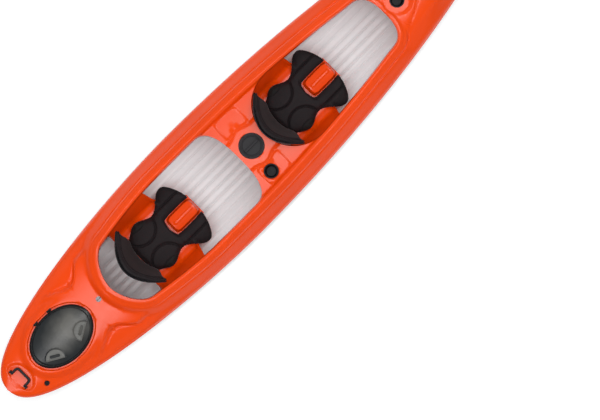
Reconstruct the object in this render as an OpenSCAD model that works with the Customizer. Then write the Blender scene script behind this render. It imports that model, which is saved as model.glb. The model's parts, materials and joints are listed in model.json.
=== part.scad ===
// Tandem kayak: a white hull and an orange deck joined at a seam, two padded seats with folding
// backrests, sliding foot braces, a screw-down day hatch, two storage hatches, carry handles and
// a drain plug. Bow along +X, port along +Y, up along +Z; the keel rests on z = 0 at mid-length.

/* [Hull] */
// Overall length, stern to stem
length = 4100; // [3800:10:4400]
// Half-breadth at the widest station, at the seam
half_beam = 389; // [375:1:405]
// Distance of the widest station aft of mid-length
widest_aft = 380; // [300:10:460]
// Half-width of the blunt stem and stern
tip_half = 12; // [8:1:20]
// Wall of the moulded shells
shell_t = 5; // [4:0.5:6]
// Height of the seam where it is lowest
seam_low = 197; // [180:1:215]
// Rise of the seam from there to the stem
bow_rise = 103; // [70:1:130]
// Rise of the seam from there to the stern
stern_rise = 55; // [30:1:80]
// Half-width of the flat keel strip at the widest station
keel_half = 110; // [80:5:140]
// Length of the stem's rise ahead of the flat keel
stem_run = 570; // [450:10:650]
// Length of the stern's rise behind the flat keel
stern_run = 380; // [300:10:450]
// Height of the hull side left at each end
tip_side = 34; // [30:1:45]

/* [Deck] */
// Height of the deck beside the coaming at mid-length
coaming_z = 336; // [325:1:350]
// Height that the coaming's ridge stands above the deck
ridge_h = 10; // [4:1:14]
// Depth of the coaming's turned-down lip
lip_h = 38; // [30:1:45]
// Width of the raised collar around the cockpit
collar_w = 112; // [90:1:130]
// Height of the side deck's curve above the seam
side_crown = 84; // [65:1:100]
// Height of the aft deck's curve above the seam
aft_crown = 60; // [45:1:75]
// Height of the foredeck behind the bow hatch
foredeck_z = 322; // [312:1:330]
// Height of the dash's peak
dash_z = 366; // [355:1:375]
// Place of the dash's peak, aft from the stem
dash_x = 715; // [705:1:740]

/* [Cockpit] */
// Aft end of the cockpit opening, forward from the stern
cockpit_aft = 837; // [820:1:850]
// Fore end of the cockpit opening, aft from the stem
cockpit_fore = 1028; // [1010:1:1050]
// Half-width of the cockpit where it is widest
cockpit_half = 263; // [258:1:270]
// Half-width at the aft corners
aft_half = 214; // [210:1:222]
// Half-width at the fore corners
fore_half = 180; // [170:1:190]
// Aft edge of the console between the seats
console_aft = -160; // [-180:1:-150]
// Fore edge of the console, behind the front backrest
console_fore = 40; // [30:1:42]
// Height of the console's side panels
console_z = 298; // [290:1:302]
// Height of the middle of the console above its panels
pedestal_h = 12; // [6:1:16]

/* [Hatches] */
// Distance of the stern hatch's centre from the stern
stern_hatch_in = 438; // [425:1:450]
// Half-length of the stern hatch's lid
stern_hatch_a = 212; // [195:1:215]
// Half-width of the stern hatch's lid
stern_hatch_b = 152; // [140:1:155]
// Height of the ledge that the stern hatch sits on
stern_ledge_z = 287; // [280:1:292]
// Height of the stern hatch's dome
stern_dome = 16; // [10:1:20]
// Distance of the bow hatch's centre from the stem
bow_hatch_in = 493; // [480:1:505]
// Half-length of the bow hatch's lid
bow_hatch_a = 145; // [130:1:148]
// Half-width of the bow hatch's lid
bow_hatch_b = 104; // [90:1:106]
// Height of the bow hatch's dome
bow_dome = 26; // [16:1:32]
// Thickness of the hatch gaskets
gasket_t = 4; // [3:0.5:5]
// Thickness of a hatch lid's rim
lid_t = 6; // [5:0.5:8]
// Radius of a hatch latch's half-round plate
latch_r = 62; // [52:1:64]
// Radius of the day hatch's opening
day_r = 52; // [48:1:54]
// Radius of the day hatch's flange
day_flange_r = 76; // [74:1:80]

/* [Seats] */
// Waist of the rear seat, forward from the cockpit's aft end
rear_seat_x = 462; // [448:1:473]
// Waist of the front seat, forward from the console's fore edge
front_seat_x = 335; // [330:1:345]
// Height of the seat pan's floor
pan_z = 80; // [70:1:90]
// Thickness of the seat cushion at its crown
cushion_t = 40; // [30:1:45]
// Half-width of the seat cushion at its waist
waist_half = 136; // [128:1:146]
// Half-width of the gap around the pommel
slot_half = 61; // [60:1:66]
// Height of the pommel above the pan's floor
pommel_h = 58; // [45:1:65]
// Half-width of the pommel
pommel_half = 50; // [44:1:51]
// Height of the backrest's top edge
backrest_z = 406; // [390:1:420]
// Half-width of the backrest at its wing tips
backrest_half = 203; // [190:1:204]
// Thickness of the backrest's pad at its crown
backrest_pad_t = 28; // [20:1:32]
// Height of the backrest's hinge
hinge_z = 158; // [150:1:165]
// Radius of the backrest's hinge pins
hinge_pin_r = 4; // [3:0.5:5]

/* [Foot braces] */
// Aft screw of the rear paddler's rails, forward from the rear seat's waist
rear_rail_aft = 570; // [551:1:581]
// Fore screw of the rear paddler's rails, forward from the rear seat's waist
rear_rail_fore = 990; // [966:1:996]
// Height of the rear paddler's rails
rear_rail_z = 140; // [135:1:145]
// Aft screw of the front paddler's rails, aft from the stem
front_rail_aft = 885; // [870:1:900]
// Fore screw of the front paddler's rails, aft from the stem
front_rail_fore = 536; // [525:1:560]
// Height of the front paddler's rails at the aft screw
front_rail_z = 172; // [165:1:178]
// Rise of the front paddler's rails to the fore screw
front_rail_rise = 17; // [10:1:20]
// Height of a pedal
pedal_h = 112; // [90:1:120]
// Reach of a pedal in from its rail
pedal_reach = 58; // [45:1:60]

/* [Fittings] */
// Radius of a cup holder's bore
cup_r = 36; // [33:0.5:38]
// Depth of a cup holder's bore
cup_depth = 72; // [55:1:80]
// Place of the console's cup holder along the boat
cup_x = -82; // [-90:1:-76]
// Distance of the console's cup holder to starboard
cup_y = 183; // [178:1:188]
// Place of the dash's cup holder, aft from the stem
dash_cup_x = 925; // [915:1:935]
// Place of the day hatch along the boat
day_x = -60; // [-66:1:-55]
// Distance of the bow handle's hinge from the stem
bow_handle_in = 128; // [120:1:135]
// Distance of the stern handle's hinge from the stern
stern_handle_in = 85; // [80:1:95]
// Radius of a carry handle's grip
grip_r = 8; // [6:0.5:9]
// Distance of the drain plug from the stern
drain_in = 187; // [180:1:195]
// Distance of the drain plug to starboard
drain_y = 132; // [128:1:136]

/* [Hidden] */
$fn = 48;

orange = "#ff4e1c";
white = "#e8ecf0";
black = "#26242a";
smoke = "#3a4042";
steel = "#b8bcc0";
foam = "#d8d6d0";

// Small clearances: a running pin, a sliding face, a seated soft piece, a cushion on its pan, a
// lifted part and the joint between hull and deck
pin_gap = 0.05;
slide_gap = 0.3;
soft_gap = 0.4;
cushion_gap = 0.8;
lift_gap = 0.3;
seam_gap = 0.3;

bow_x = length / 2;
stern_x = -length / 2;
widest_x = -widest_aft;
opening_aft = stern_x + cockpit_aft;
opening_fore = bow_x - cockpit_fore;
rear_waist = opening_aft + rear_seat_x;
front_waist = console_fore + front_seat_x;
peak_x = bow_x - dash_x;
dash_cup_at = bow_x - dash_cup_x;
seam_low_x = -350;
aft_round = 145;
fore_round = 122;
aft_corner = opening_aft + aft_round;
fore_corner = opening_fore - fore_round;
wide_aft_x = rear_waist + 131;
wide_fore_x = -300;
console_aft_round = 129;
console_fore_round = 260;
dash_drop = 48;
stern_hatch_x = stern_x + stern_hatch_in;
bow_hatch_x = bow_x - bow_hatch_in;
hatch_hole = 0.84;
stern_rim_z = stern_ledge_z + gasket_t + lid_t + 3;
bow_ledge_z = foredeck_z - 1;
hatch_lip = 14;
ledge_over = 4;
ledge_wall = 9;
rim_flat = 9;
rim_fall = 42;
bow_fade = 20;
yoke_half = 150;
yoke_edge = 22;
pedestal_half = 100;
pedestal_edge = 8;
panel_edge = 18;
dash_pad_fade = 24;
cup_wall = 2.5;
cup_flange_r = cup_r + 8;
cup_flange_t = 3;
dash_pad_z = coaming_z + 4;
dash_pad_r = cup_flange_r + 28;

// Smooth step of t from 0 at a to 1 at b
function smooth(a, b, t) = let (u = max(0, min(1, (t - a) / (b - a)))) u * u * (3 - 2 * u);

// Half-breadth, seam height and keel height at a station
function breadth(x) = x < widest_x
    ? tip_half + (half_beam - tip_half)
        * pow(max(0, 1 - pow((widest_x - x) / (widest_x - stern_x), 1.75)), 0.45)
    : tip_half + (half_beam - tip_half)
        * pow(max(0, 1 - pow((x - widest_x) / (bow_x - widest_x), 2)), 0.74);
function seam(x) = seam_low + (x > seam_low_x
    ? bow_rise * pow((x - seam_low_x) / (bow_x - seam_low_x), 2)
    : stern_rise * pow((seam_low_x - x) / (seam_low_x - stern_x), 2));
function keel(x) = x > bow_x - stem_run
    ? (seam(bow_x) - tip_side) * pow((x - bow_x + stem_run) / stem_run, 1.9)
    : x < stern_x + stern_run
    ? (seam(stern_x) - tip_side) * pow((stern_x + stern_run - x) / stern_run, 2.2)
    : 0;

// Half-width of the cockpit's side line, without its rounded ends
function corridor(x) = x < wide_aft_x
    ? cockpit_half - (cockpit_half - aft_half)
        * pow(min(1, (wide_aft_x - x) / (wide_aft_x - aft_corner)), 1.5)
    : x > wide_fore_x
    ? cockpit_half - (cockpit_half - fore_half)
        * pow(min(1, (x - wide_fore_x) / (fore_corner - wide_fore_x)), 2)
    : cockpit_half;
// Share of the half-width left at distance d into a rounded end of length l
function rounded_end(d, l, p) = pow(max(0, 1 - pow(max(0, min(1, d / l)), p)), 1 / p);
function cockpit_edge(x) = corridor(x) * rounded_end(aft_corner - x, aft_round, 1.7)
    * rounded_end(x - fore_corner, fore_round, 2.7);
// Half-width of the opening in the deck at a station, 0 where the deck is closed
function oval(x, a, b) = b * sqrt(max(0, 1 - pow(x / a, 2)));
function opening(x) =
    x > opening_aft && x < console_aft
    ? cockpit_edge(x) * rounded_end(x - console_aft + console_aft_round, console_aft_round, 2.8)
    : x > console_fore && x < opening_fore
    ? cockpit_edge(x) * rounded_end(console_fore + console_fore_round - x, console_fore_round, 2)
    : abs(x - stern_hatch_x) < stern_hatch_a * hatch_hole
    ? oval(x - stern_hatch_x, stern_hatch_a * hatch_hole, stern_hatch_b * hatch_hole)
    : abs(x - bow_hatch_x) < bow_hatch_a * hatch_hole
    ? oval(x - bow_hatch_x, bow_hatch_a * hatch_hole, bow_hatch_b * hatch_hole)
    : 0;
function in_cockpit(x) = x > opening_aft && x < opening_fore;

rim_reach = ledge_over + ledge_wall + rim_flat + rim_fall;
// Distance out from a rounded outline, along the ray from its centre
function ray_gap(dx, dy, l, w, p) = let (r = norm([dx, dy]))
    r < 0.01 ? -min(l, w) : r - r / pow(pow(dx / l, p) + pow(dy / w, p), 1 / p);
function coaming_gap(x, y) = x < aft_corner ? ray_gap(aft_corner - x, y, aft_round, aft_half, 1.7)
    : x > fore_corner ? ray_gap(x - fore_corner, y, fore_round, fore_half, 2.7)
    : y - corridor(x);

// Height of the deck's top face at x and distance y from the centreline
function low_crown(x) = x > opening_fore
    ? let (far = foredeck_z + 8 * (x - peak_x) / (bow_x - peak_x) - seam(x))
        side_crown + (far - side_crown) * smooth(opening_fore, peak_x + dash_drop, x)
    : let (far = aft_crown - 30 * pow(max(0, (opening_aft - x) / (opening_aft - stern_x)), 2))
        side_crown + (far - side_crown) * smooth(aft_corner, opening_aft - 130, x);
function deck_level(x) = coaming_z + (dash_z - coaming_z) * smooth(opening_fore, peak_x, x);
function deck_z(x, y) = let (
    s = seam(x),
    bend = sqrt(max(0, 1 - pow(min(1, y / breadth(x)), 4))),
    e = coaming_gap(x, y),
    dash = x > fore_corner
        ? smooth(peak_x + dash_drop, peak_x, x) * smooth(0.95, 0.6, y / breadth(x)) : 0,
    raised = max(smooth(collar_w, collar_w * 0.35, e), dash),
    low = s + low_crown(x) * bend,
    high = s + (deck_level(x) - s) * bend,
    ridge = ridge_h * exp(-pow((e - 14) / 14, 2)),
    round = low + (high - low) * raised + ridge,
    yoke = smooth(yoke_half + yoke_edge, yoke_half - yoke_edge, y)
        * smooth(stern_hatch_x + 40, stern_hatch_x + 140, x) * (x < aft_corner ? 1 : 0),
    shell = round + max(0, stern_rim_z - round) * yoke,
    sterns = ray_gap(abs(x - stern_hatch_x), y, stern_hatch_a, stern_hatch_b, 2),
    rimmed = shell + (stern_rim_z - shell) * smooth(rim_reach, rim_reach - rim_fall, sterns) * bend,
    ledged = rimmed + (stern_ledge_z - rimmed) * smooth(ledge_over + ledge_wall, ledge_over + 1, sterns),
    bows = ray_gap(abs(x - bow_hatch_x), y, bow_hatch_a, bow_hatch_b, 2),
    levelled = ledged + (bow_ledge_z - ledged) * smooth(ledge_over + bow_fade, ledge_over + 1, bows),
    padded = levelled + (dash_pad_z - levelled)
        * smooth(dash_pad_r + dash_pad_fade, dash_pad_r, norm([x - dash_cup_at, y])),
    inside = in_cockpit(x) ? 1 : 0,
    paneled = padded + (console_z - padded) * smooth(0, -panel_edge, e) * inside)
    paneled + pedestal_h * smooth(pedestal_half + pedestal_edge, pedestal_half - pedestal_edge, y) * inside;

// Stations along the boat: close together where the openings' ends curve
cockpit_steps = [0, 0.015, 0.08, 0.25, 0.58];
hatch_steps = [0, 0.05, 0.2, 0.55];
function into(a, l, steps) = [for (f = steps) a + l * f];
function out_of(a, l, steps) = [for (i = [len(steps) - 1 : -1 : 0]) a - l * steps[i]];
function spread(a, b, n) = [for (i = [0 : n - 1]) a + (b - a) * i / n];
function between(a, b, n) = [for (i = [1 : n - 1]) a + (b - a) * i / n];
// Across a hatch: the foot of the ledge's wall, the ledge, the hole and the same again
function across_hatch(x, a) = let (hole = a * hatch_hole, in = a - hole)
    concat([x - a - ledge_over - ledge_wall, x - a - ledge_over, x - a + 0.18 * in, x - a + 0.5 * in],
        into(x - hole, hole, hatch_steps), [x], out_of(x + hole, hole, hatch_steps),
        [x + a - 0.5 * in, x + a - 0.18 * in, x + a + ledge_over, x + a + ledge_over + ledge_wall]);
stern_tip_l = 190;
bow_tip_l = 305;
stern_tip = [for (f = [0, 0.05, 0.17, 0.37, 0.66, 1]) stern_x + f * stern_tip_l];
bow_tip = [for (f = [1, 0.82, 0.6, 0.41, 0.25, 0.125, 0.045, 0]) bow_x - f * bow_tip_l];
eye_x = opening_aft - 95;
stations = concat(
    stern_tip,
    across_hatch(stern_hatch_x, stern_hatch_a),
    [opening_aft - 130, eye_x, opening_aft - 60, opening_aft - 30],
    into(opening_aft, aft_round, cockpit_steps),
    spread(aft_corner, console_aft - console_aft_round, 5),
    [console_aft - console_aft_round],
    out_of(console_aft, console_aft_round, cockpit_steps),
    between(console_aft, console_fore, 4),
    into(console_fore, console_fore_round, cockpit_steps),
    spread(console_fore + console_fore_round, fore_corner, 4),
    [fore_corner],
    out_of(opening_fore, fore_round, cockpit_steps),
    [dash_cup_at - 58, dash_cup_at - 20, dash_cup_at + 20, dash_cup_at + 58],
    [peak_x - 70, peak_x, peak_x + dash_drop / 2, peak_x + dash_drop],
    across_hatch(bow_hatch_x, bow_hatch_a),
    bow_tip);
hull_stations = concat(stern_tip, between(stern_tip[5], bow_tip[0], 30), bow_tip);

// A closed skin of two faces, alike to port and starboard, whose halves share the centreline
// wherever the faces start at y = 0. Each face gives [x, y, z] at a step s and a share g of the
// way out; turned swaps the side that faces out.
module twin_skin(steps, shares, face_a, face_b, turned = false) {
    n = len(steps);
    m = len(shares);
    points = [for (side = [1, -1]) for (face = [face_a, face_b]) for (s = steps) for (g = shares)
        let (p = face(s, g)) [p[0], side * p[1], p[2]]];
    shared = [for (s = steps) face_a(s, shares[0])[1] < 0.001];
    at = function (side, face, i, j)
        ((j == 0 && shared[i] ? 0 : side) * 2 + face) * n * m + i * m + j;
    quad = function (a, b, c, d, swap) swap ? [[a, c, b], [a, d, c]] : [[a, b, c], [a, c, d]];
    skins = [for (side = [0, 1]) for (i = [0 : n - 2]) for (j = [0 : m - 2])
        let (swap = (side == 1) != turned)
        for (t = concat(
            quad(at(side, 0, i, j), at(side, 0, i, j + 1), at(side, 0, i + 1, j + 1),
                at(side, 0, i + 1, j), swap),
            quad(at(side, 1, i, j), at(side, 1, i + 1, j), at(side, 1, i + 1, j + 1),
                at(side, 1, i, j + 1), swap))) t];
    edges = [for (side = [0, 1]) for (i = [0 : n - 2])
        let (swap = (side == 1) != turned, k = m - 1)
        for (t = concat(
            quad(at(side, 0, i + 1, k), at(side, 0, i, k), at(side, 1, i, k),
                at(side, 1, i + 1, k), swap),
            shared[i] && shared[i + 1] ? [] : quad(at(side, 0, i, 0), at(side, 0, i + 1, 0),
                at(side, 1, i + 1, 0), at(side, 1, i, 0), swap))) t];
    ends = [for (side = [0, 1]) for (j = [0 : m - 2])
        let (swap = (side == 1) != turned, k = n - 1)
        for (t = concat(
            quad(at(side, 0, 0, j + 1), at(side, 0, 0, j), at(side, 1, 0, j),
                at(side, 1, 0, j + 1), swap),
            quad(at(side, 0, k, j), at(side, 0, k, j + 1), at(side, 1, k, j + 1),
                at(side, 1, k, j), swap))) t];
    polyhedron(points, concat(skins, edges, ends), convexity = 10);
}

// Hull section from the keel out to the seam: share of the half-breadth, share of the side's
// height, and the wall's inward step in y and z
hull_lines = [[0, 0, 0, 1], [0.62, 0.06, 0.15, 1], [0.84, 0.2, 0.75, 0.85], [0.94, 0.46, 1, 0.25],
    [0.98, 0.76, 1, 0], [1, 1, 1, 0]];
hull_shares = [-1, 0, 1, 2, 3, 4, 5];
function hull_out(x, k) = let (b = breadth(x), z = keel(x), h = seam(x) - seam_gap - z)
    k < 0 ? [x, 0, z]
    : k == 0 ? [x, keel_half * b / half_beam, z]
    : [x, hull_lines[k][0] * b, z + hull_lines[k][1] * h];
function hull_in(x, k) = let (p = hull_out(x, k))
    k < 0 ? [x, 0, p[2] + shell_t]
    : [x, p[1] - shell_t * hull_lines[k][2], p[2] + shell_t * hull_lines[k][3]];
// Half-breadth of the hull's outer side at a height above the chine
function hull_side(x, z) = let (a = hull_out(x, 3), b = hull_out(x, 4))
    a[1] + (b[1] - a[1]) * (z - a[2]) / (b[2] - a[2]);
// Outward lean of the hull's side there
function side_flare(x) = let (a = hull_out(x, 3), b = hull_out(x, 4)) (b[1] - a[1]) / (b[2] - a[2]);

module hull_shell() {
    color(white)
    twin_skin(hull_stations, hull_shares, function (x, k) hull_in(x, k),
        function (x, k) hull_out(x, k));
}

// Lines out from the centreline at a station, from the opening's edge to the seam. Around a hatch
// they follow its ledge and rim, and across the console its steps.
deck_shares = [0, 0.055, 0.14, 0.25, 0.38, 0.52, 0.67, 0.82, 0.94, 1];
deck_lines = [for (i = [0 : len(deck_shares) - 1]) i];
line_room = 0.02;
stern_rings = [ledge_over, ledge_over + ledge_wall, rim_reach - rim_fall, rim_reach - rim_fall / 2,
    rim_reach];
bow_rings = [ledge_over, ledge_over + bow_fade / 3, ledge_over + bow_fade * 2 / 3, ledge_over + bow_fade,
    ledge_over + bow_fade * 1.5];
function around_hatch(x, a, b, rings, c, half) = let (far = oval(x, a + rings[4], b + rings[4]))
    concat([c, (c + oval(x, a + ledge_over, b + ledge_over)) / 2],
        [for (r = rings) oval(x, a + r, b + r)],
        [far + (half - far) * 0.45, far + (half - far) * 0.8, half]);
function across_console(w, half) = [0, pedestal_half / 2, pedestal_half - pedestal_edge,
    pedestal_half + pedestal_edge, (w + pedestal_half) / 2, w - panel_edge, w, w + 14, (w + half) / 2, half];
function wanted_lines(x, c, half) =
    abs(x - stern_hatch_x) < stern_hatch_a + rim_reach
    ? around_hatch(x - stern_hatch_x, stern_hatch_a, stern_hatch_b, stern_rings, c, half)
    : abs(x - bow_hatch_x) < bow_hatch_a + ledge_over + bow_fade
    ? around_hatch(x - bow_hatch_x, bow_hatch_a, bow_hatch_b, bow_rings, c, half)
    : in_cockpit(x) && c == 0 ? across_console(corridor(x), half)
    : [for (g = deck_shares) c + g * (half - c)];
function deck_y(x, i) = let (c = opening(x), half = breadth(x), room = line_room * (half - c),
    last = len(deck_shares) - 1)
    min(max(wanted_lines(x, c, half)[i], c + i * room), half - (last - i) * room);
function deck_top(x, i) = let (y = deck_y(x, i)) [x, y, deck_z(x, y)];
function deck_under(x, i) = let (c = opening(x), half = breadth(x), p = deck_top(x, i),
    g = (p[1] - c) / (half - c),
    drop = i == 0 && c > 0 ? (in_cockpit(x) ? lip_h : hatch_lip) : shell_t * (1 - pow(g, 6)))
    [x, c + g * (half - c - shell_t), p[2] - drop];

day_hole_r = day_r + 6;
drain_r = 15;
drain_tilt = 32;
drain_x = stern_x + drain_in;
drain_z = deck_z(drain_x, drain_y);
module at_drain() {
    translate([drain_x, -drain_y, drain_z])
    rotate([drain_tilt, 0, 0])
    children();
}

module deck_shell() {
    color(orange)
    difference() {
        twin_skin(stations, deck_lines, function (x, i) deck_top(x, i),
            function (x, i) deck_under(x, i));
        translate([day_x, 0, console_z - 40])
        cylinder(h = 80, r = day_hole_r);
        translate([cup_x, -cup_y, console_z - 40])
        cylinder(h = 80, r = cup_r + cup_wall + lift_gap);
        translate([dash_cup_at, 0, dash_pad_z - 40])
        cylinder(h = 80, r = cup_r + cup_wall + lift_gap);
        at_drain()
        translate([0, 0, -40])
        cylinder(h = 80, r = drain_r + lift_gap);
    }
}

// Seats: places are distances d ahead of the seat's waist
pan_aft = -268;
pan_fore = 226;
pan_lines = [0, pommel_half - 10, pommel_half, pommel_half + 8, 128, 158, 186, 204];
low_wide = 212;
pan_shares = [for (i = [0 : len(pan_lines)]) i];
wall_end = 44;
wall_fade = 36;
pommel_aft = 28;
pommel_fore = 208;
pommel_rise = 12;
pan_lift = 20;
pan_lift_aft = 30;
pan_lift_fore = 190;
function pan_rise(d) = pan_lift * smooth(pan_lift_aft, pan_lift_fore, d);
function lip_z(x) = deck_z(x, corridor(x)) - lip_h - 0.8;
function walled(d) = smooth(wall_end + wall_fade, wall_end, d);
function wall_h(x, d) = (lip_z(x) - pan_z) * walled(d);
function pan_point(x0, d, i) = let (x = x0 + d, z = pan_z + pan_rise(d), h = wall_h(x, d),
    wide = low_wide + (corridor(x) + 3 - low_wide) * walled(d),
    y = i < len(pan_lines) ? pan_lines[i] : wide,
    up = i < 5 ? 0 : i == 5 ? 3 * walled(d) : i == 6 ? 0.1 * h : i == 7 ? 0.36 * h : h,
    knob = pommel_h * (i < 2 ? 1 : i == 2 ? 0.8 : 0) * smooth(pommel_aft, pommel_aft + pommel_rise, d)
        * smooth(pommel_fore + pommel_rise, pommel_fore, d))
    [x, y, z + up + knob];
function pan_under(x0, d, i) = let (p = pan_point(x0, d, i), n = len(pan_lines))
    [p[0], i == 2 || i == 3 ? p[1] - shell_t : i < 6 ? p[1] : p[1] + shell_t * walled(d),
        p[2] - (i < n - 1 ? shell_t : shell_t * (1 - walled(d)))];
pan_steps = [pan_aft, -200, -120, -50, 10, pommel_aft, pommel_aft + pommel_rise, wall_end,
    wall_end + wall_fade / 2, wall_end + wall_fade, 130, 170, pommel_fore, pommel_fore + pommel_rise,
    pan_fore];
// Ahead of its walls the pan keeps just inside the cushion's outline
pan_inside = 8;
pan_tongue = 24;
function pan_edge(d) = max(pommel_half + pan_tongue, cushion_half(min(d, cushion_fore)) - pan_inside);
module pan_corner(x0) {
    steps = [for (i = [0 : 12]) wall_end + wall_fade + (pan_fore + 4 - wall_end - wall_fade) * i / 12];
    translate([x0, 0, 0])
    linear_extrude(2 * pan_z)
    polygon(concat([for (d = steps) [d, pan_edge(d)]],
        [[pan_fore + 4, 2 * low_wide], [wall_end + wall_fade, 2 * low_wide]]));
}
module seat_pan(x0) {
    color(orange)
    difference() {
        twin_skin(pan_steps, pan_shares, function (d, i) pan_point(x0, d, i),
            function (d, i) pan_under(x0, d, i));
        both_sides()
        pan_corner(x0);
    }
}
module rear_seat_pan() { seat_pan(rear_waist); }
module front_seat_pan() { seat_pan(front_waist); }

// Foam block that carries the pan on the hull's floor
support_half = 48;
support_l = 230;
support_aft = -215;
module seat_support(x0) {
    color(foam)
    translate([x0 + support_aft, -support_half, shell_t])
    cube([support_l, 2 * support_half, pan_z - 2 * shell_t]);
}
module rear_seat_support() { seat_support(rear_waist); }
module front_seat_support() { seat_support(front_waist); }

// Cushion outline: two rear lobes, a waist and two front lobes either side of the pommel
cushion_aft = -222;
cushion_fore = 221;
rear_lobe = 36;
fore_lobe = 80;
function lobe(d, c, w) = abs(d - c) < w ? 0.5 + 0.5 * cos(180 * (d - c) / w) : 0;
function cushion_half(d) = let (
    body = waist_half + rear_lobe * lobe(d, -118, 112) + fore_lobe * lobe(d, 136, 150))
    d < -140 ? 118 + (body - 118) * rounded_end(-140 - d, -140 - cushion_aft, 1.8)
    : d > 150 ? slot_half + 12 + (body - slot_half - 12) * rounded_end(d - 150, cushion_fore - 150, 2)
    : body;
function cushion_inner(d) = slot_half * smooth(pommel_aft - 10, pommel_aft - 2, d);
// Sewn channels: arcs that outline the rear lobes, and a line along each front lobe
function channel(d, y) = let (
    rear = abs(norm([d + 118, y - 128]) - 100),
    front = d > 20 ? abs(y - 126) : 60)
    exp(-pow(min(rear, front) / 7, 2));
// The cushion lies on the pan: rest gives the pan's height at d and y, and it eases off the end of the walls
ease = 1.4;
function pan_profile(x0, d) = [for (i = [3 : len(pan_lines)]) let (p = pan_point(x0, d, i)) [p[1], p[2]]];
function cushion_under(x0, d, g, rest) = let (i0 = cushion_inner(d), y = i0 + g * (cushion_half(d) - i0))
    [x0 + d, y, rest(d, y) + cushion_gap + ease * lobe(d, wall_end + wall_fade, 30)];
function cushion_top(x0, d, g, rest) = let (p = cushion_under(x0, d, g, rest), i0 = cushion_inner(d),
    inner = i0 > 0 ? smooth(-0.25, 0.3, g) : 1,
    lift = inner * rounded_end(g, 1.02, 3.2) * (0.45 + 0.55 * rounded_end(-d, -cushion_aft + 1, 4)
        * rounded_end(d, cushion_fore + 1, 4)))
    [p[0], p[1], p[2] + 9 + (cushion_t - 9) * lift - 9 * lift * channel(d, p[1])];
cushion_steps = concat([cushion_aft, cushion_aft + 9, cushion_aft + 24], [for (d = [-170 : 20 : 10]) d],
    [pommel_aft - 10, pommel_aft - 2],
    [for (i = [0 : 2]) wall_end + wall_fade * i / 2], [for (d = [100 : 20 : 180]) d],
    [196, 210, cushion_fore]);
cushion_shares = [0, 0.1, 0.22, 0.34, 0.46, 0.58, 0.7, 0.82, 0.93, 1];
module seat_cushion(x0) {
    profiles = [for (d = pan_steps) [d, pan_profile(x0, d)]];
    rest = function (d, y) lookup(d, [for (p = profiles) [p[0], lookup(y, p[1])]]);
    color(black)
    twin_skin(cushion_steps, cushion_shares, function (d, g) cushion_top(x0, d, g, rest),
        function (d, g) cushion_under(x0, d, g, rest));
}
module rear_seat_cushion() { seat_cushion(rear_waist); }
module front_seat_cushion() { seat_cushion(front_waist); }

// Backrest: a leaning plate that wraps forward to its wing tips
backrest_aft = -340;
backrest_lean = 0.35;
backrest_wrap = 96;
backrest_foot = 176;
wing_drop = 82;
wing_deep = 24;
backrest_t = 5;
function backrest_top(y) = backrest_z - wing_drop * pow(y / backrest_half, 2);
function backrest_low(y) = let (tip = backrest_z - wing_drop - wing_deep)
    backrest_foot + (tip - backrest_foot) * smooth(112, backrest_half, y);
function backrest_x(y, z) = backrest_aft + backrest_wrap * pow(y / backrest_half, 2)
    + backrest_lean * (backrest_z - z);
function backrest_at(x0, v, g, depth) = let (y = g * backrest_half,
    z = backrest_low(y) + v * (backrest_top(y) - backrest_low(y)))
    [x0 + backrest_x(y, z) + depth, y, z];
pad_cols = [0, 0.12, 0.25, 0.37, 0.45, 0.53, 0.65, 0.78, 0.9, 0.97];
module backrest_shell(x0) {
    color(black)
    twin_skin([0, 1], concat(pad_cols, [1]), function (v, g) backrest_at(x0, v, g, backrest_t),
        function (v, g) backrest_at(x0, v, g, 0), turned = true);
}
module rear_backrest_shell() { backrest_shell(rear_waist); }
module front_backrest_shell() { backrest_shell(front_waist); }

function pad_depth(v, g) = let (across = rounded_end(g, 1.02, 3), up = rounded_end(abs(2 * v - 1), 1.02, 3),
    y = g * backrest_half, seam_line = exp(-pow((y - 92) / 12, 2)))
    backrest_t + soft_gap + 7 + (backrest_pad_t - 7) * across * up * (1 - 0.35 * seam_line);
pad_rows = [0.04, 0.1, 0.22, 0.4, 0.6, 0.78, 0.9, 0.96];
module backrest_pad(x0) {
    color(black)
    twin_skin(pad_rows, pad_cols, function (v, g) backrest_at(x0, v, g, pad_depth(v, g)),
        function (v, g) backrest_at(x0, v, g, backrest_t + soft_gap), turned = true);
}
module rear_backrest_pad() { backrest_pad(rear_waist); }
module front_backrest_pad() { backrest_pad(front_waist); }

// Hinge: ears behind the backrest's plate turn on pins held in brackets on the pan
ear_y = 98;
ear_t = 8;
ear_r = 11;
ear_top = 262;
bracket_t = 8;
hinge_d = backrest_x(ear_y, hinge_z) - 8;
// Aft face of the plate where the ear lies: the outer edge of the ear's width is the nearest
function ear_face(z) = backrest_x(ear_y, z) - slide_gap;
module both_sides() {
    children();
    mirror([0, 1, 0])
    children();
}
module backrest_hinges(x0) {
    color(black)
    both_sides()
    translate([x0, ear_y + ear_t, 0])
    rotate([90, 0, 0])
    linear_extrude(ear_t)
    difference() {
        union() {
            translate([hinge_d, hinge_z])
            circle(r = ear_r);
            polygon([[hinge_d - ear_r, hinge_z], [hinge_d + ear_r * 0.9, hinge_z + ear_r * 0.4],
                [ear_face(backrest_foot), backrest_foot], [ear_face(ear_top), ear_top],
                [ear_face(ear_top) - 10, ear_top]]);
        }
        translate([hinge_d, hinge_z])
        circle(r = hinge_pin_r + pin_gap);
    }
}
module rear_backrest_hinges() { backrest_hinges(rear_waist); }
module front_backrest_hinges() { backrest_hinges(front_waist); }

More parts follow.
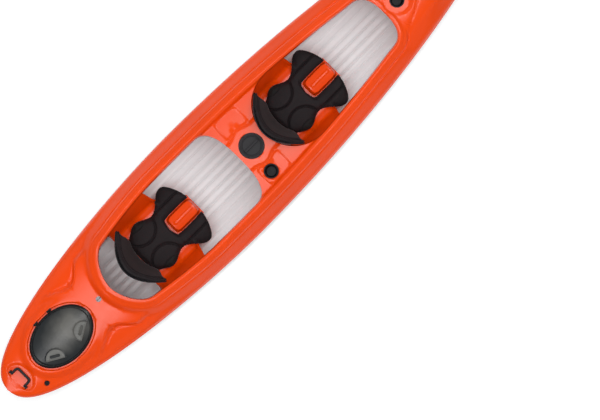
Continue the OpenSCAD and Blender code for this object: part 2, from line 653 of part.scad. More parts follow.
bracket_y = ear_y + ear_t + slide_gap;
bracket_foot_w = 30;
bracket_foot_t = 5;
module seat_brackets(x0) {
    color(black)
    both_sides()
    union() {
        translate([x0, bracket_y + bracket_t, 0])
        rotate([90, 0, 0])
        linear_extrude(bracket_t)
        difference() {
            union() {
                translate([hinge_d, hinge_z])
                circle(r = ear_r);
                translate([hinge_d - ear_r, pan_z])
                square([2 * ear_r, hinge_z - pan_z]);
            }
            translate([hinge_d, hinge_z])
            circle(r = hinge_pin_r);
        }
        translate([x0 + hinge_d - ear_r, bracket_y + bracket_t - bracket_foot_w, pan_z])
        cube([2 * ear_r, bracket_foot_w, bracket_foot_t]);
    }
}
module rear_seat_brackets() { seat_brackets(rear_waist); }
module front_seat_brackets() { seat_brackets(front_waist); }

pin_head_r = 7;
pin_head_t = 3;
module hinge_pins(x0) {
    color(steel)
    both_sides()
    translate([x0 + hinge_d, bracket_y + bracket_t, hinge_z])
    rotate([90, 0, 0])
    union() {
        cylinder(h = bracket_t + slide_gap + ear_t + 1, r = hinge_pin_r);
        translate([0, 0, -pin_head_t])
        cylinder(h = pin_head_t, r = pin_head_r);
    }
}
module rear_hinge_pins() { hinge_pins(rear_waist); }
module front_hinge_pins() { hinge_pins(front_waist); }

// Foot braces: each rail stands off the hull's side on its screws, and its pedal slides along it
rail_w = 28;
rail_d = 16;
rail_groove_w = 18;
rail_groove_d = 7;
rail_mouth_w = 10;
rail_over = 20;
boss_r = 9;
boss_l = 9;
screw_r = 3;
screw_head_r = 8;
screw_head_t = 4;
carriage_l = 60;
function rail_end(x, z) = [x, hull_side(x, z) - shell_t - boss_l, z];
rear_rail = [for (d = [rear_rail_aft, rear_rail_fore]) rail_end(rear_waist + d, rear_rail_z)];
front_rail = [rail_end(bow_x - front_rail_aft, front_rail_z),
    rail_end(bow_x - front_rail_fore, front_rail_z + front_rail_rise)];
function rail_l(r) = norm(r[1] - r[0]);
function rail_yaw(r) = atan2(r[1][1] - r[0][1], r[1][0] - r[0][0]);
function rail_pitch(r) = -asin((r[1][2] - r[0][2]) / rail_l(r));
// Rail frame: x along the rail from its middle, y out to the hull, z across its width
module on_rail(r) {
    translate((r[0] + r[1]) / 2)
    rotate([0, rail_pitch(r), rail_yaw(r)])
    children();
}
module rail(r) {
    full = rail_l(r) + 2 * rail_over;
    flare = max(side_flare(r[0][0]), side_flare(r[1][0]));
    color(black)
    on_rail(r)
    difference() {
        union() {
            translate([-full / 2, -rail_d, -rail_w / 2])
            cube([full, rail_d, rail_w]);
            for (end = [-1, 1])
                translate([end * rail_l(r) / 2, 0, 0])
                rotate([-90, 0, 0])
                cylinder(h = boss_l - boss_r * flare - slide_gap, r = boss_r);
        }
        translate([-full / 2 - 1, -rail_d + 3, -rail_groove_w / 2])
        cube([full + 2, rail_groove_d, rail_groove_w]);
        translate([-full / 2 - 1, -rail_d - 1, -rail_mouth_w / 2])
        cube([full + 2, 6, rail_mouth_w]);
        for (end = [-1, 1])
            translate([end * rail_l(r) / 2, -rail_d + 12, 0])
            rotate([-90, 0, 0])
            cylinder(h = boss_l + rail_d, r = screw_r);
    }
}
module rear_port_rail() { rail(rear_rail); }
module rear_starboard_rail() { mirror([0, 1, 0]) rail(rear_rail); }
module front_port_rail() { rail(front_rail); }
module front_starboard_rail() { mirror([0, 1, 0]) rail(front_rail); }

// Pedal: a shoe in the rail's groove, a neck through its mouth and a ribbed foot plate
pedal_t = 9;
rib_t = 4;
module pedal(r) {
    g = slide_gap;
    color(black)
    on_rail(r)
    union() {
        translate([-carriage_l / 2, -rail_d + 3 + g, -rail_groove_w / 2 + g])
        cube([carriage_l, rail_groove_d - 2 * g, rail_groove_w - 2 * g]);
        translate([-carriage_l / 2, -rail_d - 8, -rail_mouth_w / 2 + g])
        cube([carriage_l, 8 + 3 + g + 1, rail_mouth_w - 2 * g]);
        translate([-carriage_l / 2, -rail_d - 12, -rail_w / 2])
        cube([carriage_l, 12 - g, rail_w]);
        translate([-pedal_t / 2, -rail_d - 12 - pedal_reach, -pedal_h / 2])
        cube([pedal_t, pedal_reach + 1, pedal_h]);
        for (z = [-2 : 2])
            translate([-pedal_t / 2 - rib_t, -rail_d - 12 - pedal_reach + 4, z * pedal_h / 6 - 3])
            cube([rib_t + 1, pedal_reach - 8, 6]);
        translate([-carriage_l / 2, -rail_d - 12 - pedal_reach * 0.6, -5])
        cube([carriage_l / 2, pedal_reach * 0.6 + 1, 10]);
    }
}
module rear_port_pedal() { pedal(rear_rail); }
module rear_starboard_pedal() { mirror([0, 1, 0]) pedal(rear_rail); }
module front_port_pedal() { pedal(front_rail); }
module front_starboard_pedal() { mirror([0, 1, 0]) pedal(front_rail); }

module foot_brace_screws() {
    color(steel)
    both_sides()
    for (r = [rear_rail, front_rail])
        on_rail(r)
        for (end = [-1, 1])
            translate([end * rail_l(r) / 2, -rail_d + 13, 0])
            rotate([-90, 0, 0])
            union() {
                cylinder(h = rail_d - 13 + boss_l + shell_t + 1, r = screw_r);
                translate([0, 0, rail_d - 13 + boss_l + shell_t - 0.6])
                cylinder(h = screw_head_t, r = screw_head_r);
            }
}

// Day hatch in the console: a flanged ring, a seal and a cap with a grip bar
day_z = console_z + pedestal_h;
day_flange_t = 5;
day_neck = 30;
day_seal_t = 1.6;
day_cap_r = 62;
day_cap_t = 6;
day_screw_r = 2;
day_screw_pcr = (day_cap_r + day_flange_r) / 2;
day_screw_count = 6;
module day_screw_places() {
    for (i = [0 : day_screw_count - 1])
        rotate([0, 0, 30 + i * 360 / day_screw_count])
        translate([day_screw_pcr, 0, 0])
        children();
}
module at_day() {
    translate([day_x, 0, day_z])
    children();
}
module day_hatch_ring() {
    color(black)
    at_day()
    difference() {
        union() {
            cylinder(h = day_flange_t, r = day_flange_r);
            translate([0, 0, -day_neck])
            cylinder(h = day_neck, r = day_hole_r - lift_gap);
        }
        translate([0, 0, -day_neck - 1])
        cylinder(h = day_neck + day_flange_t + 2, r = day_r);
        day_screw_places()
        translate([0, 0, -1])
        cylinder(h = day_flange_t + 2, r = day_screw_r + 0.2);
    }
}
module day_hatch_screws() {
    color(steel)
    at_day()
    day_screw_places()
    union() {
        translate([0, 0, -10])
        cylinder(h = 10 + day_flange_t, r = day_screw_r);
        translate([0, 0, day_flange_t])
        cylinder(h = 2, r = 2 * day_screw_r);
    }
}
module day_hatch_seal() {
    color(black)
    at_day()
    translate([0, 0, day_flange_t + lift_gap])
    difference() {
        cylinder(h = day_seal_t, r = day_cap_r - 2);
        translate([0, 0, -1])
        cylinder(h = day_seal_t + 2, r = day_r + 2);
    }
}
module day_hatch_cap() {
    base = day_flange_t + 2 * lift_gap + day_seal_t;
    color(black)
    at_day()
    union() {
        difference() {
            union() {
                translate([0, 0, base])
                cylinder(h = day_cap_t, r = day_cap_r);
                translate([0, 0, base - 22])
                cylinder(h = 22, r = day_r - 0.1);
            }
            translate([0, 0, base - 23])
            cylinder(h = 23, r = day_r - 5);
        }
        intersection() {
            translate([-day_cap_r, -8, base + day_cap_t])
            cube([2 * day_cap_r, 16, 9]);
            translate([0, 0, base])
            cylinder(h = 30, r = day_cap_r - 8);
        }
    }
}

// Cup holders
module cup_holder() {
    color(black)
    difference() {
        union() {
            cylinder(h = cup_flange_t, r = cup_flange_r);
            translate([0, 0, -cup_depth + cup_flange_t - cup_wall])
            cylinder(h = cup_depth + cup_wall - cup_flange_t, r = cup_r + cup_wall);
        }
        translate([0, 0, cup_flange_t - cup_depth])
        cylinder(h = cup_depth + 1, r = cup_r);
    }
}
module console_cup_holder() {
    translate([cup_x, -cup_y, console_z])
    cup_holder();
}
module dash_cup_holder() {
    translate([dash_cup_at, 0, dash_pad_z])
    cup_holder();
}

// Storage hatches: a gasket ring and a domed oval lid
oval_sides = 48;
gasket_in = 6;
gasket_wall = 4;
gasket_slack = 0.1;
function oval_points(a, b) = [for (i = [0 : oval_sides - 1])
    [a * cos(i * 360 / oval_sides), b * sin(i * 360 / oval_sides)]];
module hatch_gasket(x, z, a, b) {
    color(black)
    translate([x, 0, z + gasket_slack])
    linear_extrude(gasket_t - 2 * gasket_slack)
    difference() {
        polygon(oval_points(a - gasket_in, b - gasket_in));
        polygon(oval_points(a * hatch_hole + gasket_wall, b * hatch_hole + gasket_wall));
    }
}
lid_steps = [-0.985, -0.93, -0.8, -0.6, -0.35, 0, 0.35, 0.6, 0.8, 0.93, 0.985];
lid_shares = [0, 0.3, 0.55, 0.75, 0.88, 0.95, 1];
function lid_y(f, g, b) = g * b * sqrt(1 - f * f);
function lid_dome(f, y, b, dome) = dome * pow(max(0, 1 - f * f - pow(y / b, 2)), 0.6);
module hatch_lid(x, z, a, b, dome) {
    base = z + gasket_t;
    color(smoke)
    twin_skin(lid_steps, lid_shares,
        function (f, g) let (y = lid_y(f, g, b)) [x + f * a, y, base + lid_t + lid_dome(f, y, b, dome)],
        function (f, g) let (y = lid_y(f, g, b)) [x + f * a, y, base
            + smooth(0.82, 0.78, norm([f, y / b])) * (lid_dome(f, y, b, dome) + lid_t - 4)]);
}
module stern_hatch_gasket() { hatch_gasket(stern_hatch_x, stern_ledge_z, stern_hatch_a, stern_hatch_b); }
module stern_hatch_lid() {
    hatch_lid(stern_hatch_x, stern_ledge_z, stern_hatch_a, stern_hatch_b, stern_dome);
}
module bow_hatch_gasket() { hatch_gasket(bow_hatch_x, bow_ledge_z, bow_hatch_a, bow_hatch_b); }
module bow_hatch_lid() {
    hatch_lid(bow_hatch_x, bow_ledge_z, bow_hatch_a, bow_hatch_b, bow_dome);
}

// Hinges of the stern hatch on its port side: a lug on the lid turns on a pin held by two ears on
// the deck
hinge_reach = 54;
hinge_out = 9;
lug_r = 6;
lug_w = 18;
lug_l = 30;
lid_pin_r = 2.5;
lid_ear_t = 6;
lid_ear_sink = 10;
lid_hinge_y = oval(hinge_reach, stern_hatch_a, stern_hatch_b) + hinge_out;
lid_hinge_z = stern_rim_z + lug_r;
module at_lid_hinges() {
    for (end = [-1, 1])
        translate([stern_hatch_x + end * hinge_reach, lid_hinge_y, lid_hinge_z])
        children();
}
// A round bar along x, centred
module bar_x(l, r) {
    translate([-l / 2, 0, 0])
    rotate([0, 90, 0])
    cylinder(h = l, r = r);
}
module stern_hinge_lugs() {
    color(smoke)
    at_lid_hinges()
    difference() {
        union() {
            bar_x(lug_w, lug_r);
            translate([-lug_w / 2, -lug_l, -lug_r])
            cube([lug_w, lug_l, lug_r]);
        }
        bar_x(lug_w + 2, lid_pin_r + pin_gap);
    }
}
module stern_hinge_ears() {
    color(smoke)
    at_lid_hinges()
    for (side = [-1, 1])
        translate([side * (lug_w / 2 + slide_gap + lid_ear_t / 2), 0, 0])
        difference() {
            union() {
                bar_x(lid_ear_t, lug_r);
                translate([-lid_ear_t / 2, -lug_r + 1, -lug_r - lid_ear_sink])
                cube([lid_ear_t, 2 * lug_r - 1, lug_r + lid_ear_sink]);
            }
            bar_x(lid_ear_t + 2, lid_pin_r);
        }
}
module stern_hinge_pins() {
    color(steel)
    at_lid_hinges()
    bar_x(lug_w + 2 * (slide_gap + lid_ear_t) + 2, lid_pin_r);
}

// Latches on the stern hatch: half-round plates that hinge up from a mount, flat side outboard
latch_reach = 112;
latch_y = 66;
latch_turn = 30;
latch_t = 6;
latch_pin_r = 3;
latch_ear = 6;
latch_base_t = 4;
latch_sink = 10;
finger_in = 17;
finger_r = 9;
finger_reach = 22;
latch_z = stern_ledge_z + gasket_t + lid_t + stern_dome + 1;
// Latch frame: x along the hinge, y in to the round edge; end is -1 aft and 1 fore
module at_latch(end) {
    translate([stern_hatch_x + end * latch_reach, -latch_y, latch_z])
    rotate([0, 0, end * latch_turn])
    children();
}
module half_round(r, h) {
    intersection() {
        cylinder(h = h, r = r);
        translate([-r, 0, -1])
        cube([2 * r, r, h + 2]);
    }
}
module stern_latch_mounts() {
    color(smoke)
    for (end = [-1, 1])
        at_latch(end)
        union() {
            translate([0, -2, -latch_sink])
            half_round(latch_r, latch_sink + latch_base_t);
            for (side = [-1, 1])
                translate([side * (latch_r - latch_ear / 2) - latch_ear / 2, -9, -latch_sink])
                difference() {
                    cube([latch_ear, 9, latch_sink + latch_base_t + 10]);
                    translate([-1, 4.5, latch_sink + latch_base_t + 5])
                    rotate([0, 90, 0])
                    cylinder(h = latch_ear + 2, r = latch_pin_r + pin_gap);
                }
        }
}
module stern_latch(end) {
    inner = latch_r - latch_ear - slide_gap;
    color(smoke)
    at_latch(end)
    translate([0, -4.5, latch_base_t + 5])
    difference() {
        union() {
            translate([-latch_r - 1, 0, 0])
            rotate([0, 90, 0])
            cylinder(h = 2 * latch_r + 2, r = latch_pin_r);
            translate([-inner, 0, 0])
            rotate([0, 90, 0])
            cylinder(h = 2 * inner, r = 4.2);
            translate([0, 0, -latch_t / 2 + 0.5])
            half_round(inner, latch_t - 1);
        }
        // Finger slot along the plate's straight side
        translate([0, finger_in, -latch_t])
        linear_extrude(2 * latch_t)
        hull()
            for (side = [-1, 1])
                translate([side * finger_reach, 0])
                circle(r = finger_r);
    }
}
module stern_latch_aft() { stern_latch(-1); }
module stern_latch_fore() { stern_latch(1); }

// Carry handles: a bail whose stub pins turn in two brackets near each end of the boat
handle_half = [52, 34];
handle_reach = 46;
grip_lift = 5;
bracket_w = 10;
bracket_sink = 8;
stub_r = 4;
function handle_x(end) = end > 0 ? bow_x - bow_handle_in : stern_x + stern_handle_in;
function handle_w(end) = end > 0 ? handle_half[1] : handle_half[0];
function handle_z(end) = deck_z(handle_x(end), 0) + grip_r + grip_lift;
// Handle frame: x inboard from the hinge, z up; end is 1 at the bow and -1 at the stern
module at_handle(end) {
    translate([handle_x(end), 0, handle_z(end)])
    rotate([0, 0, end > 0 ? 180 : 0])
    children();
}
module handle_brackets(end) {
    w = handle_w(end);
    color(black)
    at_handle(end)
    both_sides()
    translate([0, w + grip_r + slide_gap, 0])
    difference() {
        union() {
            rotate([-90, 0, 0])
            cylinder(h = bracket_w, r = 9);
            translate([-9, 0, -grip_r - grip_lift - bracket_sink])
            cube([18, bracket_w, grip_r + grip_lift + bracket_sink]);
        }
        translate([0, -1, 0])
        rotate([-90, 0, 0])
        cylinder(h = bracket_w + 2, r = stub_r + pin_gap);
    }
}
module bow_handle_brackets() { handle_brackets(1); }
module stern_handle_brackets() { handle_brackets(-1); }
module bail(end) {
    w = handle_w(end);
    r = grip_r * 2;
    color(black)
    at_handle(end)
    union() {
        translate([handle_reach, -w + r, 0])
        rotate([-90, 0, 0])
        cylinder(h = 2 * (w - r), r = grip_r);
        both_sides()
        union() {
            translate([0, w, 0])
            rotate([0, 90, 0])
            cylinder(h = handle_reach - r, r = grip_r);
            translate([handle_reach - r, w - r, 0])
            rotate_extrude(angle = 90)
            translate([r, 0])
            circle(r = grip_r);
            translate([0, w, 0])
            rotate([-90, 0, 0])
            cylinder(h = grip_r + slide_gap + bracket_w, r = stub_r);
            translate([0, w, 0])
            sphere(r = grip_r);
        }
    }
}
module bow_handle() { bail(1); }
module stern_handle() { bail(-1); }

// Drain plug in its flanged seat on the aft quarter
drain_bore = 9;
drain_seat_l = 22;
drain_flange_t = 3;
module drain_seat() {
    color(black)
    at_drain()
    translate([0, 0, drain_flange_t - drain_seat_l])
    difference() {
        cylinder(h = drain_seat_l, r = drain_r);
        translate([0, 0, -1])
        cylinder(h = drain_seat_l + 2, r = drain_bore);
    }
}
module drain_plug() {
    color(black)
    at_drain()
    translate([0, 0, drain_flange_t])
    union() {
        translate([0, 0, -drain_seat_l + 2])
        cylinder(h = drain_seat_l - 2 + lift_gap, r = drain_bore - pin_gap);
        translate([0, 0, lift_gap])
        cylinder(h = 4, r = drain_bore + 4);
        translate([-drain_bore - 1, -2.5, lift_gap + 4])
        cube([2 * drain_bore + 2, 5, 6]);
    }
}

// Eye on the deck between the stern hatch and the cockpit, seated in the dip between their collars
eye_r = 16;
eye_wire_r = 3;
eye_sink = 12;
eye_plate_t = 2;
eye_z = max(deck_z(eye_x - eye_r, 0), deck_z(eye_x + eye_r, 0));
module deck_eye() {
    color(steel)
    translate([eye_x, 0, eye_z])
    union() {
        translate([0, 0, -eye_sink])
        cylinder(h = eye_sink + eye_plate_t, r = eye_r);
        translate([0, 0, eye_plate_t])
        rotate([90, 0, 0])
        rotate_extrude(angle = 180)
        translate([eye_r - eye_wire_r - 1, 0])
        circle(r = eye_wire_r);
    }
}

// Buoyancy blocks between the hull's floor and the deck at each end
foam_half = 26;
foam_shares = [0, 0.6, 1];
function foam_low(x, y) = keel(x) + shell_t + soft_gap + 0.4 * y;
module foam_block(steps) {
    color(foam)
    twin_skin(steps, foam_shares,
        function (x, g) [x, g * foam_half, deck_z(x, foam_half) - shell_t - 2 * soft_gap],
        function (x, g) [x, g * foam_half, foam_low(x, g * foam_half)]);
}
module bow_foam_block() { foam_block([for (i = [0 : 2]) bow_tip[i]]); }
module stern_foam_block() { foam_block([for (i = [3 : 5]) stern_tip[i]]); }

hull_shell();
deck_shell();
rear_seat_pan();
front_seat_pan();
rear_seat_support();
front_seat_support();
rear_seat_cushion();
front_seat_cushion();
rear_seat_brackets();
front_seat_brackets();
rear_backrest_shell();
front_backrest_shell();
rear_backrest_pad();
front_backrest_pad();
rear_backrest_hinges();
front_backrest_hinges();
rear_hinge_pins();
front_hinge_pins();
rear_port_rail();
rear_starboard_rail();
front_port_rail();
front_starboard_rail();
rear_port_pedal();
rear_starboard_pedal();
front_port_pedal();
front_starboard_pedal();
foot_brace_screws();
day_hatch_ring();
day_hatch_screws();
day_hatch_seal();
day_hatch_cap();
console_cup_holder();
dash_cup_holder();
stern_hatch_gasket();
stern_hatch_lid();
stern_hinge_ears();
stern_hinge_lugs();
stern_hinge_pins();
stern_latch_mounts();
stern_latch_aft();
stern_latch_fore();
bow_hatch_gasket();
bow_hatch_lid();
bow_handle_brackets();
bow_handle();
stern_handle_brackets();
stern_handle();
drain_seat();
drain_plug();
deck_eye();
bow_foam_block();
stern_foam_block();
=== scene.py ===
"""Looks of a sit-inside tandem kayak: moulded shells, padded seats, hatches and fittings.

Lengths are in metres: +X to the bow, +Y to port, +Z up, with the keel on z = 0.
"""
import json
import math

import bmesh
import bpy
from bpy.props import FloatProperty, PointerProperty, StringProperty
from mathutils import Matrix, Vector


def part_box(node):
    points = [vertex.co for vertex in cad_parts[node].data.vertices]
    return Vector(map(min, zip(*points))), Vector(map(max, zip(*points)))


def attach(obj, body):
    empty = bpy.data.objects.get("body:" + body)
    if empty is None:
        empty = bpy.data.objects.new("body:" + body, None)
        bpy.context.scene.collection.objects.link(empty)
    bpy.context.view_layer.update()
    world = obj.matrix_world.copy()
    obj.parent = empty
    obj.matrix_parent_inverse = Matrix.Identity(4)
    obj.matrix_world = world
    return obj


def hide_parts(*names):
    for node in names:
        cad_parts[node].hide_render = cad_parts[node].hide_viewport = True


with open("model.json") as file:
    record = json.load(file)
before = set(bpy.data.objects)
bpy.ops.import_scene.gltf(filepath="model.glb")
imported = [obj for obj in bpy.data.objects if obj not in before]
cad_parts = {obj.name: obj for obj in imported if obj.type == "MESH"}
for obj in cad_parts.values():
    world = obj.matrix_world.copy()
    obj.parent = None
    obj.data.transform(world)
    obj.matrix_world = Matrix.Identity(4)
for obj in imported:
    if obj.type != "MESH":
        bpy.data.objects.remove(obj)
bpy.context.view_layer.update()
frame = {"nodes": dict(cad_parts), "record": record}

bl_info = {
    "name": "Tandem Kayak",
    "version": (1, 0, 0),
    "blender": (4, 5, 0),
    "location": "View3D > Sidebar > Kayak",
    "description": "Builds the finished surfaces of a tandem kayak around its construction model",
    "category": "Add Mesh",
}

SEATS = ("rear", "front")
SIDES = ("port", "starboard")
UP, AHEAD = Vector((0, 0, 1)), Vector((1, 0, 0))
TURN = 2 * math.pi
# Points this close are merged, and numbers this close are equal
NEAR = 1e-5
SAME = 1e-7


def middle(node):
    """Middle of a construction node's box."""
    low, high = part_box(node)
    return (low + high) / 2


def reach(node):
    """Half of a construction node's size along each axis."""
    low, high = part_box(node)
    return (high - low) / 2


def size(label, words, default):
    """A length that a user may change."""
    return FloatProperty(name=label, description=words, default=default, unit="LENGTH", precision=4)


def tint(label, words, default):
    """A colour that a user may change, as an sRGB hex value."""
    return StringProperty(name=label, description=words, default=default)


# Sizes and colours


class HullSizes(bpy.types.PropertyGroup):
    """Sizes of the hull"""
    half_length: size("Half length", "From mid-length to the stem", reach("hull_shell").x)
    half_beam: size("Half beam", "Half-breadth at the widest station", reach("hull_shell").y)
    widest_aft: size("Widest station", "Distance of the widest station aft of mid-length", 0.38)
    tip_half: size("Tip", "Half-width of the blunt stem and stern", 0.012)
    wall: size("Wall", "Thickness of the moulded sheet", 0.005)
    seam_low: size("Seam", "Height of the seam where it is lowest", 0.197)
    seam_low_x: size("Seam's low point", "Place of the seam's lowest point", -0.35)
    bow_rise: size("Bow rise", "Rise of the seam to the stem", 0.103)
    stern_rise: size("Stern rise", "Rise of the seam to the stern", 0.055)
    stem_run: size("Stem run", "Length of the stem's rise", 0.57)
    stern_run: size("Stern run", "Length of the stern's rise", 0.38)
    tip_side: size("Tip side", "Height of the hull's side at its ends", 0.034)
    rib_pitch: size("Rib pitch", "Distance between the grooves along the floor", 0.047)
    rib_h: size("Rib height", "Height of the lands between the floor's grooves", 0.0024)


class DeckSizes(bpy.types.PropertyGroup):
    """Sizes of the deck"""
    coaming_z: size("Coaming", "Height of the deck beside the cockpit", 0.336)
    ridge_h: size("Ridge", "Height of the coaming's ridge", 0.010)
    lip_h: size("Lip", "Depth of the coaming's turned-down lip", 0.038)
    collar_w: size("Collar", "Width of the raised collar around the cockpit", 0.112)
    crease_at: size("Crease", "Distance of the crease from the cockpit's edge", 0.058)
    crease_d: size("Crease depth", "Depth of the crease along the collar", 0.008)
    side_crown: size("Side crown", "Height of the side deck's curve above the seam", 0.084)
    aft_crown: size("Aft crown", "Height of the aft deck's curve above the seam", 0.060)
    foredeck_z: size("Foredeck", "Height of the foredeck behind the bow hatch", 0.322)
    dash_z: size("Dash", "Height of the dash's peak", 0.366)
    dash_x: size("Dash place", "Place of the dash's peak", 1.335)
    dash_drop: size("Dash drop", "Length of the drop ahead of the dash", 0.048)
    skirt_h: size("Skirt", "Depth of the deck's edge over the hull", 0.014)
    skirt_out: size("Skirt step", "Step of the deck's edge out over the hull", 0.003)
    recess_d: size("Stern recess", "Depth of the recess under the stern handle", 0.007)


class CockpitSizes(bpy.types.PropertyGroup):
    """Sizes of the cockpit and its console"""
    aft: size("Aft end", "Aft end of the cockpit opening", -1.213)
    fore: size("Fore end", "Fore end of the cockpit opening", 1.022)
    half: size("Half-width", "Half-width where it is widest", 0.263)
    aft_half: size("Aft half-width", "Half-width at the aft corners", 0.214)
    fore_half: size("Fore half-width", "Half-width at the fore corners", 0.18)
    aft_round: size("Aft round", "Length of the rounded aft end", 0.145)
    fore_round: size("Fore round", "Length of the rounded fore end", 0.122)
    wide_aft: size("Wide from", "Aft end of the widest stretch", -0.62)
    wide_fore: size("Wide to", "Fore end of the widest stretch", -0.3)
    console_aft: size("Console aft", "Aft edge of the console", -0.16)
    console_fore: size("Console fore", "Fore edge of the console", 0.04)
    console_aft_round: size("Console aft round", "Length of its rounded aft corners", 0.129)
    console_fore_round: size("Console fore round", "Length of its rounded fore corners", 0.26)
    console_z: size("Console height", "Height of the console's side panels", 0.298)
    pedestal_h: size("Pedestal", "Height of the console's middle above its panels", 0.012)
    pedestal_half: size("Pedestal half-width", "Half-width of the console's middle", 0.106)


class SeatSizes(bpy.types.PropertyGroup):
    """Sizes of the seats"""
    pan_z: size("Pan", "Height of the pan's floor", 0.08)
    pan_aft: size("Pan aft", "Aft edge of the pan, from the waist", -0.268)
    pan_fore: size("Pan fore", "Fore edge of the pan, from the waist", 0.222)
    pommel_h: size("Pommel", "Height of the pommel", 0.058)
    pommel_half: size("Pommel half-width", "Half-width of the pommel", 0.050)
    cushion_aft: size("Cushion aft", "Aft edge of the cushion, from the waist", -0.222)
    cushion_fore: size("Cushion fore", "Fore edge of the cushion, from the waist", 0.221)
    cushion_t: size("Cushion", "Thickness of the cushion at its crown", 0.040)
    waist_half: size("Waist", "Half-width of the cushion at its waist", 0.136)
    slot_half: size("Slot", "Half-width of the gap around the pommel", 0.058)
    backrest_half: size("Backrest", "Half-width of the backrest", 0.203)
    backrest_z: size("Backrest top", "Height of the backrest's top edge", 0.406)


class KayakColours(bpy.types.PropertyGroup):
    """Colours of the kayak's materials"""
    orange: tint("Deck", "Orange sheet of the deck and the seat pans", "#f24805")
    white: tint("Hull", "White sheet of the hull", "#eceef0")
    black: tint("Nylon", "Moulded black fittings", "#1d1c1f")
    cloth: tint("Seat cloth", "Woven cover of the cushions", "#171114")
    cloth_light: tint("Seat thread", "Paler threads of the seat cloth", "#282022")
    smoke: tint("Hatch lids", "Smoky plastic of the hatch lids", "#26292b")
    # Painted reflection: the lids' paler grey middle stands for the overhead light reflected in their domes
    smoke_reflection: tint("Hatch middle", "Paler middle of the hatch lids", "#5c5b57")
    latch: tint("Latches", "Pale plastic of the latches", "#666662")
    rubber: tint("Seals", "Rubber of the seals", "#141414")
    steel: tint("Steel", "Stainless fasteners", "#9b9da0")
    oxide: tint("Black steel", "Blackened screws of the day hatch", "#2c2b2b")
    foam: tint("Foam", "Closed-cell foam", "#dad8d2")
    floor: tint("Floor", "Studio floor", "#f4f4f4")


# Curves that the shapes share


def held(t):
    """t kept within 0 and 1."""
    return min(1.0, max(0.0, t))


def smooth(a, b, t):
    """Smooth step of t from 0 at a to 1 at b."""
    u = held((t - a) / (b - a))
    return u * u * (3 - 2 * u)


def hump(t, width):
    """A bell of height 1 at t = 0."""
    return math.exp(-((t / width) ** 2))


def soft_above(t, width):
    """t where it is above 0 and 0 below, with a rounded corner."""
    return 0.5 * (t + math.sqrt(t * t + width * width))


def rounded_end(d, length, power):
    """Share of the half-width that is left at a distance d into a rounded end."""
    return max(0.0, 1 - held(d / length) ** power) ** (1 / power)


def oval(x, a, b):
    """Half-width of an oval at x."""
    return b * math.sqrt(max(0.0, 1 - (x / a) ** 2))


def ray_gap(dx, dy, length, width, power):
    """Distance out from a rounded outline, along the ray from its centre."""
    r = math.hypot(dx, dy)
    if r < NEAR:
        return -min(length, width)
    return r - r / ((dx / length) ** power + (dy / width) ** power) ** (1 / power)


def through(points, t):
    """The point at a share t of the way along a smooth curve through the points."""
    last = len(points) - 1
    k = min(int(t * last), last - 1)
    u = t * last - k
    four = [points[max(0, min(last, k + i))] for i in (-1, 0, 1, 2)]
    return tuple(0.5 * (2 * b + (c - a) * u + (2 * a - 5 * b + 4 * c - d) * u ** 2
                        + (3 * b - a - 3 * c + d) * u ** 3) for a, b, c, d in zip(*four))


def between(points, x):
    """The y of a line through points (x, y), level beyond its ends."""
    for (xa, ya), (xb, yb) in zip(points, points[1:]):
        if x <= xb:
            return ya + (yb - ya) * max(0.0, x - xa) / (xb - xa)
    return points[-1][1]


def spread(a, b, count):
    """Even steps from a up to, and without, b."""
    return [a + (b - a) * i / count for i in range(count)]


def crowded(a, b, count, power=2.6):
    """Steps from a up to, and without, b that crowd together at a."""
    return [a + (b - a) * (i / count) ** power for i in range(count)]


def crowded_to(a, b, count):
    """Steps from a up to, and without, b that crowd together at b."""
    return [a + b - x for x in reversed(crowded(a, b, count + 1)[1:])]


